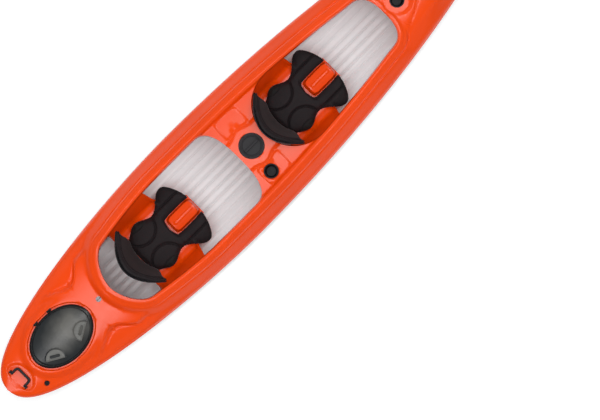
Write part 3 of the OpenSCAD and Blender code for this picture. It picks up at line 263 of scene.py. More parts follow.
class BoatForm:
    """The boat's surfaces as functions of the place x along it and the distance y from its middle."""

    # Hull section from the keel to the seam, as shares of the half-breadth and of the side's height
    SECTION = ((0, 0), (0.283, 0), (0.62, 0.06), (0.84, 0.2), (0.94, 0.46), (0.98, 0.76), (1, 1))
    # Powers of the plan and of the keel's rise towards either end
    STERN_PLAN, BOW_PLAN = (1.75, 0.45), (2, 0.74)
    STERN_KEEL, BOW_KEEL = 2.2, 1.9
    # The floor's ribs: where they fade in, fade out and end beside it, and a groove's share of their pitch
    RIBS_AFT, RIBS_FORE, RIBS_SIDE, RIB_GROOVE = (-1.35, -1.15), (1.3, 1.1), (0.235, 0.205), 0.13
    # The hull's edge stays this far under the deck's
    SEAM_GAP = 0.0003
    # Powers of the cockpit's taper, of its rounded ends and of the console's corners
    AFT_TAPER, FORE_TAPER = 1.5, 2
    AFT_POWER, FORE_POWER = 1.7, 2.7
    CONSOLE_AFT_POWER, CONSOLE_FORE_POWER = 2.8, 2
    # Distances of the deck's lines out from the cockpit's edge and from a hatch's lid
    COLLAR_LINES = (0, 0.0015, 0.004, 0.008, 0.012, 0.017, 0.023, 0.030, 0.037, 0.044, 0.049, 0.052, 0.055,
                    0.058, 0.061, 0.064, 0.068, 0.075, 0.085, 0.098)
    RIM_LINES = (0.008, 0.009, 0.010, 0.0115, 0.013, 0.0145, 0.016, 0.0175, 0.0195, 0.022, 0.025, 0.028,
                 0.032, 0.037, 0.042, 0.047, 0.052, 0.058, 0.064, 0.070)
    OUTER_LINES, OUTER_POWER = 16, 0.85
    # Runs of lines from the middle to the cockpit's edge: where each starts and how many it holds
    INNER_RUNS = ((0.0, 3), (0.082, 10), (0.137, 3), (0.222, 10), (0.263, 0))
    # Lengths over which lines that follow an edge turn to even ones, beyond the cockpit and at a hatch
    COLLAR_FADE, HATCH_INSET, HATCH_MARGIN = 0.06, 0.02, 0.045
    # Lengths of the close stations at the tips, and of those before the stern's and the bow's hatch
    TIP_RUN, STERN_MARGIN, BOW_MARGIN = 0.06, 0.07, 0.03
    # Close stations at a hatch's ends: distances out from its lid, and past its hole
    WALL_OUT, FLAT_OUT, PAST_HOLE = 0.020, 0.006, 0.003
    DAY_HOLE, CUP_HOLE = 0.0585, 0.0405
    # Hatches: the lid's share of its oval, the hole's share and lip, and the ledge, wall and rim around it
    LID_SHARE, HATCH_HOLE, HATCH_LIP = 0.985, 0.84, 0.014
    LEDGE_OVER, LEDGE_FLAT, LEDGE_WALL, BOW_WALL = 0.008, 0.001, 0.008, 0.02
    RIM_H, RIM_FLAT, RIM_FALL = 0.013, 0.009, 0.042
    # The raised yoke between the stern hatch and the cockpit draws in to a vee on each side
    YOKE_HALF, YOKE_WIDE, YOKE_EDGE, YOKE_ROUND = 0.160, 0.262, 0.012, 0.02
    YOKE_AFT, YOKE_FORE = (0.04, 0.14), 0.13
    VEE_AFT, VEE_FORE, VEE_ROUND = -1.394, -1.344, 0.03
    VEE_AFT_SLOPE, VEE_FORE_SLOPE = 0.574, 1.1
    VEE_D, VEE_W = 0.004, 0.010
    # The deck's curve across, the collar's level share, and the coaming's level rim and its slopes
    CROWN_POWER, COLLAR_TOP = 4, 0.35
    RIM_TOP, RIM_SLOPE, RIM_INSIDE = 0.020, 0.020, (-0.03, 0.004)
    # The crease along the collar: its width, its fading ends and the land beside it
    CREASE_W, CREASE_AFT, CREASE_FORE = 0.0045, (-0.08, 0.06), 0.035
    LAND_H, LAND_EDGE, LAND_RISE = 0.004, 0.008, 0.01
    # Change of the low deck's curve over the foredeck and towards the stern
    FOREDECK_RISE, STERN_FALL, AFT_RUN = 0.008, 0.030, 0.13
    # Half-width of the dash's panel, which runs out to a point ahead of its cup holder
    DASH_EDGE = ((0.97, 0.236), (1.012, 0.207), (1.069, 0.152), (1.159, 0.109), (1.208, 0.079), (1.268, 0.0))
    # Height and half-width of its step, and where the dash and its panel fade to the side, aft and ahead
    DASH_STEP, STEP_HALF = 0.004, 0.004
    DASH_SIDE, DASH_AFT, DASH_TIP, DASH_GAP = (0.95, 0.6), (-0.04, -0.005), (1.29, 1.25), (0.010, 0.03)
    # The level pad around the dash's cup holder, and the thickness of that holder's flange
    PAD_MARGIN, PAD_FALL, CUP_FLANGE = 0.028, 0.024, 0.003
    # The recess under the stern handle: its centre ahead of the brackets, half-sizes and edge
    RECESS_AT, RECESS_FORE, RECESS_AFT, RECESS_HALF = 0.012, 0.070, 0.038, 0.092
    RECESS_EDGE = (1.12, 0.9)
    # Flat side panels of the console, sunk inside a border, and the groove beside its middle
    BORDER_H, BORDER_AFT, BORDER_FORE, BORDER_SIDE, BORDER_INNER = 0.006, 0.021, 0.008, 0.018, 0.012
    PANEL_POWER, PANEL_EDGE = 5, (1.07, 0.93)
    GROOVE_D, GROOVE_AT, GROOVE_W = 0.004, 0.004, 0.005
    CONSOLE_FALL, CONSOLE_INSIDE = -0.018, (-0.004, -0.024)
    PEDESTAL_EDGE, PEDESTAL_IN, SWELL, SWELL_W = 0.006, 0.010, 0.028, 0.055

    def __init__(self, scene):
        self.hull = scene.kayak_hull
        self.deck = scene.kayak_deck
        self.pit = scene.kayak_cockpit
        self.bow_x = self.hull.half_length
        self.stern_x = -self.hull.half_length
        self.aft_corner = self.pit.aft + self.pit.aft_round
        self.fore_corner = self.pit.fore - self.pit.fore_round
        self.hatches = self.hatch("stern_hatch_lid"), self.hatch("bow_hatch_lid")
        self.stern_hatch, self.bow_hatch = self.hatches
        self.stern_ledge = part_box("stern_hatch_gasket")[0].z
        self.stern_rim = self.stern_ledge + self.RIM_H
        self.bow_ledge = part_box("bow_hatch_gasket")[0].z
        self.dash_cup = middle("dash_cup_holder")
        self.dash_pad_r = reach("dash_cup_holder").x + self.PAD_MARGIN
        self.dash_pad_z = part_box("dash_cup_holder")[1].z - self.CUP_FLANGE
        self.handle = middle("stern_handle_brackets")
        self.day = middle("day_hatch_ring")

    def hatch(self, node):
        """Place, half-length and half-width of a hatch's lid."""
        half = reach(node)
        return middle(node).x, half.x / self.LID_SHARE, half.y

    def within(self, x):
        """A place held between the stern and the bow."""
        return max(self.stern_x, min(self.bow_x, x))

    def tipped(self, places, length, middle_share=0.6):
        """Stations with the share of their width: whole along the boat, and a rounded tip at each end."""
        step = length * middle_share
        aft = [(self.stern_x - length, 0.0), (self.stern_x - step, middle_share)]
        fore = [(self.bow_x + step, middle_share), (self.bow_x + length, 0.0)]
        return aft + [(x, 1.0) for x in places] + fore

    def breadth(self, x):
        """Half-breadth at the seam."""
        h = self.hull
        aft = x < -h.widest_aft
        end, (power, root) = (self.stern_x, self.STERN_PLAN) if aft else (self.bow_x, self.BOW_PLAN)
        share = max(0.0, 1 - max(0.0, (x + h.widest_aft) / (end + h.widest_aft)) ** power) ** root
        return h.tip_half + (h.half_beam - h.tip_half) * share

    def seam(self, x):
        """Height of the seam between hull and deck."""
        h = self.hull
        end, rise = (self.bow_x, h.bow_rise) if x > h.seam_low_x else (self.stern_x, h.stern_rise)
        return h.seam_low + rise * ((x - h.seam_low_x) / (end - h.seam_low_x)) ** 2

    def keel(self, x):
        """Height of the keel."""
        h = self.hull
        if x > self.bow_x - h.stem_run:
            rise = (x - self.bow_x + h.stem_run) / h.stem_run
            return (self.seam(self.bow_x) - h.tip_side) * rise ** self.BOW_KEEL
        if x < self.stern_x + h.stern_run:
            rise = (self.stern_x + h.stern_run - x) / h.stern_run
            return (self.seam(self.stern_x) - h.tip_side) * rise ** self.STERN_KEEL
        return 0.0

    def corridor(self, x):
        """Half-width of the cockpit's side line, without its rounded ends."""
        p = self.pit
        if x < p.wide_aft:
            share = min(1.0, (p.wide_aft - x) / (p.wide_aft - self.aft_corner)) ** self.AFT_TAPER
            return p.half - (p.half - p.aft_half) * share
        if x > p.wide_fore:
            share = min(1.0, (x - p.wide_fore) / (self.fore_corner - p.wide_fore)) ** self.FORE_TAPER
            return p.half - (p.half - p.fore_half) * share
        return p.half

    def cockpit_edge(self, x):
        """Half-width of the cockpit as if the console weren't there."""
        p = self.pit
        return (self.corridor(x) * rounded_end(self.aft_corner - x, p.aft_round, self.AFT_POWER)
                * rounded_end(x - self.fore_corner, p.fore_round, self.FORE_POWER))

    def opening(self, x):
        """Half-width of the opening in the deck, 0 where the deck is closed."""
        p = self.pit
        if p.aft < x < p.console_aft:
            into = x - p.console_aft + p.console_aft_round
            return self.cockpit_edge(x) * rounded_end(into, p.console_aft_round, self.CONSOLE_AFT_POWER)
        if p.console_fore < x < p.fore:
            into = p.console_fore + p.console_fore_round - x
            return self.cockpit_edge(x) * rounded_end(into, p.console_fore_round, self.CONSOLE_FORE_POWER)
        holes = [(at, a * self.HATCH_HOLE, b * self.HATCH_HOLE) for at, a, b in self.hatches]
        holes += [(self.day.x, self.DAY_HOLE, self.DAY_HOLE), (self.dash_cup.x, self.CUP_HOLE, self.CUP_HOLE)]
        return next((oval(x - at, a, b) for at, a, b in holes if abs(x - at) < a), 0.0)

    def lip_depth(self, x):
        """Depth of the lip turned down into the opening, up to and with the opening's ends."""
        p = self.pit
        if p.aft - SAME < x < p.console_aft + SAME or p.console_fore - SAME < x < p.fore + SAME:
            return self.deck.lip_h
        if any(abs(x - at) < a * self.HATCH_HOLE + SAME for at, a, _ in self.hatches):
            return self.HATCH_LIP
        return 0.0

    def coaming_gap(self, x, y):
        """Distance out from the cockpit's edge."""
        p = self.pit
        if x < self.aft_corner:
            return ray_gap(self.aft_corner - x, y, p.aft_round, p.aft_half, self.AFT_POWER)
        if x > self.fore_corner:
            return ray_gap(x - self.fore_corner, y, p.fore_round, p.fore_half, self.FORE_POWER)
        return y - self.corridor(x)

    def collar_line(self, x, gap, halvings=22):
        """Distance from the middle to the line that runs a gap outside the cockpit's edge, halved in on."""
        low, high = 0.0, self.hull.half_beam
        for _ in range(halvings):
            y = (low + high) / 2
            low, high = (y, high) if self.coaming_gap(x, y) < gap else (low, y)
        return low

    def yoke_half(self, x):
        """Half-width of the raised yoke: narrow at the side panels' vees, then up to the collar's."""
        aft = soft_above(self.VEE_AFT - x, self.VEE_ROUND) * self.VEE_AFT_SLOPE
        fore = soft_above(x - self.VEE_FORE, self.VEE_ROUND) * self.VEE_FORE_SLOPE
        return self.YOKE_WIDE - soft_above(self.YOKE_WIDE - self.YOKE_HALF - aft - fore, self.YOKE_ROUND)

    def low_crown(self, x):
        """Height of the deck's curve above the seam, away from the collar."""
        d, p = self.deck, self.pit
        if x > p.fore:
            ahead = (x - d.dash_x) / (self.bow_x - d.dash_x)
            far = d.foredeck_z + self.FOREDECK_RISE * ahead - self.seam(x)
            share = smooth(p.fore, d.dash_x + d.dash_drop, x)
        else:
            far = d.aft_crown - self.STERN_FALL * max(0.0, (p.aft - x) / (p.aft - self.stern_x)) ** 2
            share = smooth(self.aft_corner, p.aft - self.AFT_RUN, x)
        return d.side_crown + (far - d.side_crown) * share

    def crown(self, share):
        """Height left at a share of the way out from the middle to the seam."""
        return math.sqrt(max(0.0, 1 - min(1.0, share) ** self.CROWN_POWER))

    def crease(self, off):
        """Depth share of a crease at a distance from its line."""
        return math.exp(-abs(off) / self.CREASE_W)

    def deck_z(self, x, y):
        """Height of the deck's top face."""
        d, p = self.deck, self.pit
        seam, half = self.seam(x), self.breadth(x)
        out = min(1.0, y / half)
        bend = self.crown(out)
        gap = self.coaming_gap(x, y)
        dash = 0.0
        if x > self.fore_corner:
            dash = smooth(d.dash_x + d.dash_drop, d.dash_x, x) * smooth(*self.DASH_SIDE, out)
        raised = max(smooth(d.collar_w, d.collar_w * self.COLLAR_TOP, gap), dash)
        low = seam + self.low_crown(x) * bend
        level = d.coaming_z + (d.dash_z - d.coaming_z) * smooth(p.fore, d.dash_x, x)
        # The coaming's rim is level beside the opening and falls away outside
        inward = min(max(gap, 0.0), self.RIM_TOP) * smooth(p.fore, self.fore_corner, x)
        high = seam + (level - seam) * self.crown((y - inward) / half)
        rim = smooth(self.RIM_TOP + self.RIM_SLOPE, self.RIM_TOP, gap) * smooth(*self.RIM_INSIDE, gap)
        z = low + (high - low) * raised + d.ridge_h * rim
        if x > self.fore_corner:
            z += self.dash_step(x, y, gap)
        start, full = (self.aft_corner + step for step in self.CREASE_AFT)
        along = smooth(start, full, x) * smooth(p.fore + self.CREASE_FORE, p.fore, x)
        z -= d.crease_d * self.crease(gap - d.crease_at) * along * bend
        land = smooth(d.crease_at, d.crease_at - self.LAND_EDGE, gap)
        z += self.LAND_H * land * smooth(0.0, self.LAND_RISE, gap) * along
        across, along = self.yoke(x, y)
        z += max(0.0, self.stern_rim - z) * across * along * bend
        z -= self.VEE_D * hump(y - self.yoke_half(x) - self.VEE_W, self.VEE_W) * along * bend
        z = self.hatch_rims(x, y, z, bend)
        pad = math.hypot(x - self.dash_cup.x, y)
        z += (self.dash_pad_z - z) * smooth(self.dash_pad_r + self.PAD_FALL, self.dash_pad_r, pad)
        if p.aft < x < p.fore:
            z = self.console_top(x, y, z, gap)
        return z - d.recess_d * self.recess(x, y)

    def dash_step(self, x, y, gap):
        """Rise of the dash's panel and of the groove around it."""
        start, full = (self.pit.fore + step for step in self.DASH_AFT)
        off = y - between(self.DASH_EDGE, x)
        panel = smooth(start, full, x) * smooth(*self.DASH_TIP, x) * smooth(*self.DASH_GAP, gap)
        edge = smooth(self.STEP_HALF, -self.STEP_HALF, off) - self.crease(off - self.STEP_HALF)
        return self.DASH_STEP * panel * edge

    def hatch_rims(self, x, y, z, bend):
        """Height with the stern hatch's raised rim and both hatches' sunk ledges."""
        ledge = self.LEDGE_OVER + self.LEDGE_FLAT
        at, a, b = self.stern_hatch
        off = ray_gap(abs(x - at), y, a, b, 2)
        fall = self.LEDGE_OVER + self.LEDGE_WALL + self.RIM_FLAT + self.RIM_FALL
        z += (self.stern_rim - z) * smooth(fall, fall - self.RIM_FALL, off) * bend
        z += (self.stern_ledge - z) * smooth(self.LEDGE_OVER + self.LEDGE_WALL, ledge, off)
        at, a, b = self.bow_hatch
        off = ray_gap(abs(x - at), y, a, b, 2)
        return z + (self.bow_ledge - z) * smooth(self.LEDGE_OVER + self.BOW_WALL, ledge, off)

    def yoke(self, x, y):
        """Shares of the yoke's rise, across it and along it."""
        if x > self.aft_corner:
            return 0.0, 0.0
        half = self.yoke_half(x)
        across = smooth(half + self.YOKE_EDGE, half - self.YOKE_EDGE, y)
        start, full = (self.stern_hatch[0] + step for step in self.YOKE_AFT)
        return across, smooth(start, full, x) * smooth(self.aft_corner, self.aft_corner - self.YOKE_FORE, x)

    def recess(self, x, y):
        """Share of the depth of the rounded recess under the stern handle."""
        ahead = x - self.handle.x - self.RECESS_AT
        length = self.RECESS_FORE if ahead > 0 else self.RECESS_AFT
        return smooth(*self.RECESS_EDGE, math.hypot(ahead / length, y / self.RECESS_HALF))

    def console_top(self, x, y, z, gap):
        """Height across the console: sunk side panels with rounded corners, and a raised middle."""
        p = self.pit
        z += (p.console_z + self.BORDER_H - z) * smooth(0, self.CONSOLE_FALL, gap)
        inside = smooth(*self.CONSOLE_INSIDE, gap)
        half = self.pedestal_edge(x)
        rise = smooth(half + self.PEDESTAL_EDGE, half - self.PEDESTAL_EDGE, y)
        aft, fore = p.console_aft + self.BORDER_AFT, p.console_fore - self.BORDER_FORE
        inner, outer = half + self.BORDER_INNER, self.corridor(x) - self.BORDER_SIDE
        along = abs(2 * x - aft - fore) / (fore - aft)
        across = abs(2 * y - inner - outer) / (outer - inner)
        off = (along ** self.PANEL_POWER + across ** self.PANEL_POWER) ** (1 / self.PANEL_POWER)
        groove = hump(y - half - self.GROOVE_AT, self.GROOVE_W)
        z += (p.pedestal_h - self.BORDER_H) * rise * inside
        return z - self.BORDER_H * smooth(*self.PANEL_EDGE, off) - self.GROOVE_D * groove * inside

    def pedestal_edge(self, x):
        """Half-width of the console's raised middle, which swells around the day hatch."""
        return self.pit.pedestal_half - self.PEDESTAL_IN + self.SWELL * hump(x - self.day.x, self.SWELL_W)

    def stations(self):
        """Places of the deck's cross-sections, close together where it turns sharply."""
        p = self.pit
        console_aft = p.console_aft - p.console_aft_round
        console_fore = p.console_fore + p.console_fore_round
        # Each stretch's start, its way of spacing and its count
        marks = [(self.stern_x, crowded, 9), (self.stern_x + self.TIP_RUN, spread, 16)]
        marks += self.across_hatch(self.stern_hatch, self.STERN_MARGIN, 22)
        marks += [(p.aft, crowded, 18), (self.aft_corner, spread, 34), (console_aft, crowded_to, 18),
                  (p.console_aft, spread, 40), (p.console_fore, crowded, 24), (console_fore, spread, 26),
                  (self.fore_corner, crowded_to, 16), (p.fore, spread, 40), (self.deck.dash_x, spread, 10)]
        marks += self.across_hatch(self.bow_hatch, self.BOW_MARGIN, 14)
        marks += [(self.bow_x - self.TIP_RUN, crowded_to, 9), (self.bow_x, spread, 0)]
        places = []
        for (start, spaced, count), (end, _, _) in zip(marks, marks[1:]):
            places += spaced(start, end, count)
        return places + [self.bow_x]

    def across_hatch(self, hatch, margin, beyond):
        """Stretches over a hatch and beyond it, close together at the ends of its rim and of its hole."""
        at, a, _ = hatch
        hole, wall, flat = a * self.HATCH_HOLE, a + self.WALL_OUT, a + self.FLAT_OUT
        return [(at - a - margin, spread, 5), (at - wall, spread, 7), (at - flat, spread, 5),
                (at - hole, crowded, 10), (at, crowded_to, 10), (at + hole, spread, 1),
                (at + hole + self.PAST_HOLE, spread, 5), (at + flat, spread, 7), (at + wall, spread, 7),
                (at + a + margin, spread, beyond)]

    def lines(self, x):
        """Distances of the deck's lengthwise lines from the middle at a station."""
        half, hole = self.breadth(x), self.opening(x)
        count = sum(n for _, n in self.INNER_RUNS) + len(self.COLLAR_LINES) + self.OUTER_LINES
        even = [hole + (half - hole) * i / (count - 1) for i in range(count)]
        beyond = max(self.pit.aft - x, x - self.pit.fore, 0.0)
        if beyond < self.COLLAR_FADE:
            rings = [self.cockpit_edge(x)] + [self.collar_line(x, g) for g in self.COLLAR_LINES[1:]]
            return self.mixed(rings, even, smooth(0, self.COLLAR_FADE, beyond), hole, half)
        for at, a, b in self.hatches:
            beyond = abs(x - at) - a
            if beyond < self.HATCH_MARGIN:
                rings = [oval(x - at, a + g, b + g) for g in self.RIM_LINES]
                share = smooth(-self.HATCH_INSET, self.HATCH_MARGIN, beyond)
                return self.mixed(rings, even, share, hole, half)
        return even

    def mixed(self, rings, even, share, hole, half):
        """Lines part of the way from bands to even ones: bands inside, over and outside the rings."""
        edge, last, m = rings[0], rings[-1], self.OUTER_LINES
        inner = []
        for (start, count), (end, _) in zip(self.INNER_RUNS, self.INNER_RUNS[1:]):
            inner += [max(hole, y * edge / self.INNER_RUNS[-1][0]) for y in spread(start, end, count)]
        outer = [last + (half - last) * ((i + 1) / m) ** self.OUTER_POWER for i in range(m)]
        return [min(half, max(hole, a + (b - a) * share)) for a, b in zip(inner + rings + outer, even)]

    def hull_point(self, x, t):
        """A point of the hull's outside, a share t of the way from the keel to the seam."""
        h = self.hull
        low = self.keel(x)
        out, up = through(self.SECTION, t)
        y = self.breadth(x) * held(out)
        z = low + max(0.0, up) * (self.seam(x) - self.SEAM_GAP - low)
        ribs = smooth(*self.RIBS_SIDE, y) * (smooth(*self.RIBS_AFT, x) * smooth(*self.RIBS_FORE, x))
        land = 1 - hump((y / h.rib_pitch) % 1.0 - 0.5, self.RIB_GROOVE)
        return Vector((x, y, z + h.rib_h * land * ribs))


class SeatForm:
    """A seat's surfaces, at distances d ahead of its waist and y from its middle."""

    # The pan's floor, the side walls beside the hips and the edge ahead of them
    LOW_WIDE, FLOOR_HALF, FLOOR_RISE, FLOOR_SLOPE = 0.212, 0.128, 0.020, (0.03, 0.19)
    WALL_END, WALL_FADE, WALL_GAP, WALL_OUT = 0.044, 0.036, 0.002, 0.003
    SIDE_HALF, SIDE_UP, FLOOR_LIP = (0.158, 0.186, 0.204), (0.1, 0.36), 0.003
    TONGUE, EDGE_IN, EDGE_AHEAD, EDGE_RUN = 0.024, 0.017, 0.008, (0.1, 0.15)
    # The pommel: its ends, the level floor beside it, its edge, and the crown and the rib on it
    POMMEL_AFT, POMMEL_FORE, POMMEL_BASE, POMMEL_OUT = 0.030, 0.218, 0.008, 0.005
    POMMEL_EDGE, CROWN_H, RIB_H = (1.04, 0.86), 0.010, 0.004
    RIB_SIDE, RIB_END = (0.013, 0.006), (0.80, 0.62)
    # The cushion's lobes as height, place and length, and its rounded ends
    LOBES = ((0.036, -0.118, 0.112), (0.080, 0.136, 0.150))
    AFT_FROM, AFT_HALF, AFT_POWER, FORE_FROM, FORE_TIP = -0.14, 0.118, 1.8, 0.15, 0.012
    SLOT_AFT, SLOT_FULL = 0.012, 0.002
    EDGE_T, EDGE_LOSS, SLOT_ROUND, END_SHARE = 0.009, 0.014, (-0.25, 0.3), 0.45
    TOP_ROUND, END_OVER, END_POWER = (1.02, 3.2), 0.001, 4
    # Sewn channels: an arc round a rear lobe, a line along a front lobe, and the bolster
    ARC_AT, ARC_R = (-0.118, 0.128), 0.101
    LINE_Y, LINE_AFT, CHANNEL_W = 0.126, 0.02, 0.0055
    BOLSTER_AT, BOLSTER_R, BOLSTER_EDGE = (-0.112, 0.152), (0.068, 0.032), (1.1, 0.8)
    # The backrest: its low edge, its place behind the waist, wrap, lean, and the fall of its top edge
    REST_LOW, REST_X, REST_WRAP, REST_LEAN, REST_FALL, REST_TIP = 0.176, -0.340, 0.096, 0.35, 0.082, 0.024
    REST_CORNER = 0.112

    def __init__(self, scene, which):
        self.boat = BoatForm(scene)
        self.s = scene.kayak_seat
        self.which = which
        self.x0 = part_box(which + "_seat_cushion")[0].x - self.s.cushion_aft
        self.base = self.s.pommel_half + self.POMMEL_BASE

    def walled(self, d):
        """Share of the side wall's height: 1 beside the hips and 0 ahead of them."""
        return smooth(self.WALL_END + self.WALL_FADE, self.WALL_END, d)

    def pan_edge(self, d):
        """Half-width of the pan ahead of its walls: just inside the cushion's outline."""
        ahead = max(d, self.WALL_END) + self.EDGE_AHEAD * smooth(*self.EDGE_RUN, d)
        half = self.cushion_half(min(ahead, self.s.cushion_fore)) - self.EDGE_IN
        return min(self.LOW_WIDE, max(self.s.pommel_half + self.TONGUE, half))

    def floor_z(self, d):
        """Height of the pan's floor."""
        return self.s.pan_z + self.FLOOR_RISE * smooth(*self.FLOOR_SLOPE, d)

    def side(self, d):
        """Half section of the pan's side from the floor's edge to the top of its wall."""
        boat, x, base = self.boat, self.x0 + d, self.base
        walled = self.walled(d)
        edge = boat.corridor(x)
        h = (boat.deck_z(x, edge) - boat.deck.lip_h - self.WALL_GAP - self.s.pan_z) * walled
        drawn_in = 1 - (1 - (self.pan_edge(d) - base) / (self.LOW_WIDE - base)) * (1 - walled)
        ys = [base + (y - base) * drawn_in for y in (self.FLOOR_HALF, *self.SIDE_HALF, self.LOW_WIDE)]
        ys[-1] += (edge + self.WALL_OUT - self.LOW_WIDE) * walled
        return tuple(zip(ys, (0, self.FLOOR_LIP * walled, *(up * h for up in self.SIDE_UP), h)))

    def pommel(self, d, y):
        """Height of the pommel above the floor: a rounded box with a crown and a rib along its top."""
        s = self.s
        half_l = (self.POMMEL_FORE - self.POMMEL_AFT) / 2
        along = abs(d - self.POMMEL_AFT - half_l) / half_l
        across = y / (s.pommel_half + self.POMMEL_OUT)
        body = smooth(*self.POMMEL_EDGE, (along ** 7 + across ** 5) ** (1 / 6))
        crown = self.CROWN_H * max(0.0, 1 - across ** 2) * max(0.0, 1 - along ** 4)
        rib = self.RIB_H * smooth(*self.RIB_SIDE, y) * smooth(*self.RIB_END, along)
        return body * (s.pommel_h - self.CROWN_H) + crown + rib

    def pan_lines(self, inside=0.14, outside=0.07):
        """Shares of the way across the pan: 0 to 1 over the floor, 1 to 2 up the side."""
        half = self.s.pommel_half / self.FLOOR_HALF
        floor = spread(0, half - inside, 12) + spread(half - inside, half + outside, 16)
        return floor + spread(half + outside, 1, 6) + spread(1, 2, 22) + [2.0]

    def pan_point(self, d, g):
        """A point of the pan's upper face."""
        z = self.floor_z(d)
        side = self.side(d)
        if g <= 1:
            y = self.FLOOR_HALF * g
            if y > self.base:
                y = self.base + (y - self.base) * (side[0][0] - self.base) / (self.FLOOR_HALF - self.base)
            return Vector((self.x0 + d, y, z + self.pommel(d, y)))
        y, up = through(side, g - 1)
        return Vector((self.x0 + d, y, z + max(0.0, up)))

    def rest_z(self, d, y):
        """Height of the pan under the cushion."""
        side = self.side(d)
        return self.floor_z(d) + (between(side, y) if y < side[-1][0] else 0.0)

    def cushion_half(self, d):
        """Half-width of the cushion: two rear lobes, a waist and two front lobes."""
        body = self.s.waist_half
        for height, at, length in self.LOBES:
            if abs(d - at) < length:
                body += height * (0.5 + 0.5 * math.cos(math.pi * (d - at) / length))
        if d < self.AFT_FROM:
            end = rounded_end(self.AFT_FROM - d, self.AFT_FROM - self.s.cushion_aft, self.AFT_POWER)
            return self.AFT_HALF + (body - self.AFT_HALF) * end
        if d > self.FORE_FROM:
            tip = self.s.slot_half + self.FORE_TIP
            end = rounded_end(d - self.FORE_FROM, self.s.cushion_fore - self.FORE_FROM, 2)
            return tip + (body - tip) * end
        return body

    def cushion_inner(self, d):
        """Half-width of the slot around the pommel."""
        return self.s.slot_half * smooth(self.POMMEL_AFT - self.SLOT_AFT, self.POMMEL_AFT - self.SLOT_FULL, d)

    def channel(self, d, y):
        """Depth share of the sewn channels: arcs round the rear lobes, lines along the front lobes."""
        rear = abs(math.hypot(d - self.ARC_AT[0], y - self.ARC_AT[1]) - self.ARC_R)
        front = math.hypot(y - self.LINE_Y, min(0.0, d - self.LINE_AFT))
        return max(hump(rear, self.CHANNEL_W), hump(front, self.CHANNEL_W))

    def bolster(self, d, y):
        """Share of the raised bolster along the outer side of a rear lobe."""
        (at, out), (length, width) = self.BOLSTER_AT, self.BOLSTER_R
        return smooth(*self.BOLSTER_EDGE, math.hypot((d - at) / length, (y - out) / width))

    def cushion_top(self, d, y):
        """Height of the cushion's top above the pan."""
        s = self.s
        inner, half = self.cushion_inner(d), self.cushion_half(d)
        g = held((y - inner) / (half - inner))
        near = smooth(*self.SLOT_ROUND, g) if inner > 0 else 1.0
        ends = (rounded_end(-d, -s.cushion_aft + self.END_OVER, self.END_POWER)
                * rounded_end(d, s.cushion_fore + self.END_OVER, self.END_POWER))
        full = (s.cushion_t - self.EDGE_LOSS) * near * rounded_end(g, *self.TOP_ROUND)
        return self.EDGE_T + full * (self.END_SHARE + (1 - self.END_SHARE) * ends)

    def backrest_point(self, v, g, depth):
        """A point of the backrest at a height share v and a width share g, depth ahead of its plate."""
        s = self.s
        y = abs(g) * s.backrest_half
        top = s.backrest_z - self.REST_FALL * g * g
        tip = s.backrest_z - self.REST_FALL - self.REST_TIP
        low = self.REST_LOW + (tip - self.REST_LOW) * smooth(self.REST_CORNER, s.backrest_half, y)
        z = low + v * (top - low)
        x = self.REST_X + self.REST_WRAP * g * g + self.REST_LEAN * (s.backrest_z - z)
        return Vector((self.x0 + x + depth, g * s.backrest_half, z))


# Materials


def linear(hex_value):
    """Linear colour of an sRGB hex value."""
    parts = [int(hex_value[i:i + 2], 16) / 255 for i in (1, 3, 5)]
    return [c / 12.92 if c <= 0.04045 else ((c + 0.055) / 1.055) ** 2.4 for c in parts] + [1.0]


def add(tree, kind, links=(), stops=(), **settings):
    """Adds a node, sets its options and a ramp's stops, and fills its sockets with values or links."""
    node = tree.nodes.new(kind)
    for key, value in settings.items():
        setattr(node, key, value)
    for i, (place, colour) in enumerate(stops):
        node.color_ramp.elements[i].position = place
        node.color_ramp.elements[i].color = colour
    for key, value in dict(links).items():
        if isinstance(value, bpy.types.NodeSocket):
            tree.links.new(value, node.inputs[key])
        else:
            node.inputs[key].default_value = value
    return node


COORDS, MAPPING, ATTRIBUTE = "ShaderNodeTexCoord", "ShaderNodeMapping", "ShaderNodeAttribute"
NOISE, WAVE, CELLS = "ShaderNodeTexNoise", "ShaderNodeTexWave", "ShaderNodeTexVoronoi"
GRADIENT, RAMP, BUMP = "ShaderNodeTexGradient", "ShaderNodeValToRGB", "ShaderNodeBump"
MATH, MIX = "ShaderNodeMath", "ShaderNodeMix"
SURFACE, OUTPUT = "ShaderNodeBsdfPrincipled", "ShaderNodeOutputMaterial"


def empty_tree(owner):
    """The node tree of a material or a world, with nothing in it."""
    owner.use_nodes = True
    owner.node_tree.nodes.clear()
    return owner.node_tree


def new_material(name):
    """An empty material, its node tree and its Object coordinates."""
    material = bpy.data.materials.new(name)
    tree = empty_tree(material)
    return material, tree, add(tree, COORDS).outputs["Object"]


def grey(value):
    """A linear grey."""
    return (value, value, value, 1.0)


def toned(colour, share):
    """A linear colour made darker or paler."""
    return [c * share for c in colour[:3]] + [1.0]


def rough(low, high):
    """Stops of a ramp from a low to a high roughness."""
    return (0.0, grey(low)), (1.0, grey(high))


def bands(pitch):
    """Scale of a wave texture whose bands repeat at a pitch."""
    return math.pi / (10 * pitch)


def patterned(name, kind, pattern, tones, gloss, surface, relief=None, output="Fac", **settings):
    """A material whose colour, gloss and relief all follow one pattern."""
    material, tree, at = new_material(name)
    value = add(tree, kind, {"Vector": at, **pattern}, **settings).outputs[output]
    sockets = {"Base Color": add(tree, RAMP, {"Fac": value}, tones).outputs["Color"],
               "Roughness": add(tree, RAMP, {"Fac": value}, gloss).outputs["Color"], **surface}
    if relief:
        strength, distance = relief
        bump = add(tree, BUMP, {"Strength": strength, "Distance": distance, "Height": value})
        sockets["Normal"] = bump.outputs["Normal"]
    add(tree, OUTPUT, {"Surface": add(tree, SURFACE, sockets).outputs["BSDF"]})
    return material


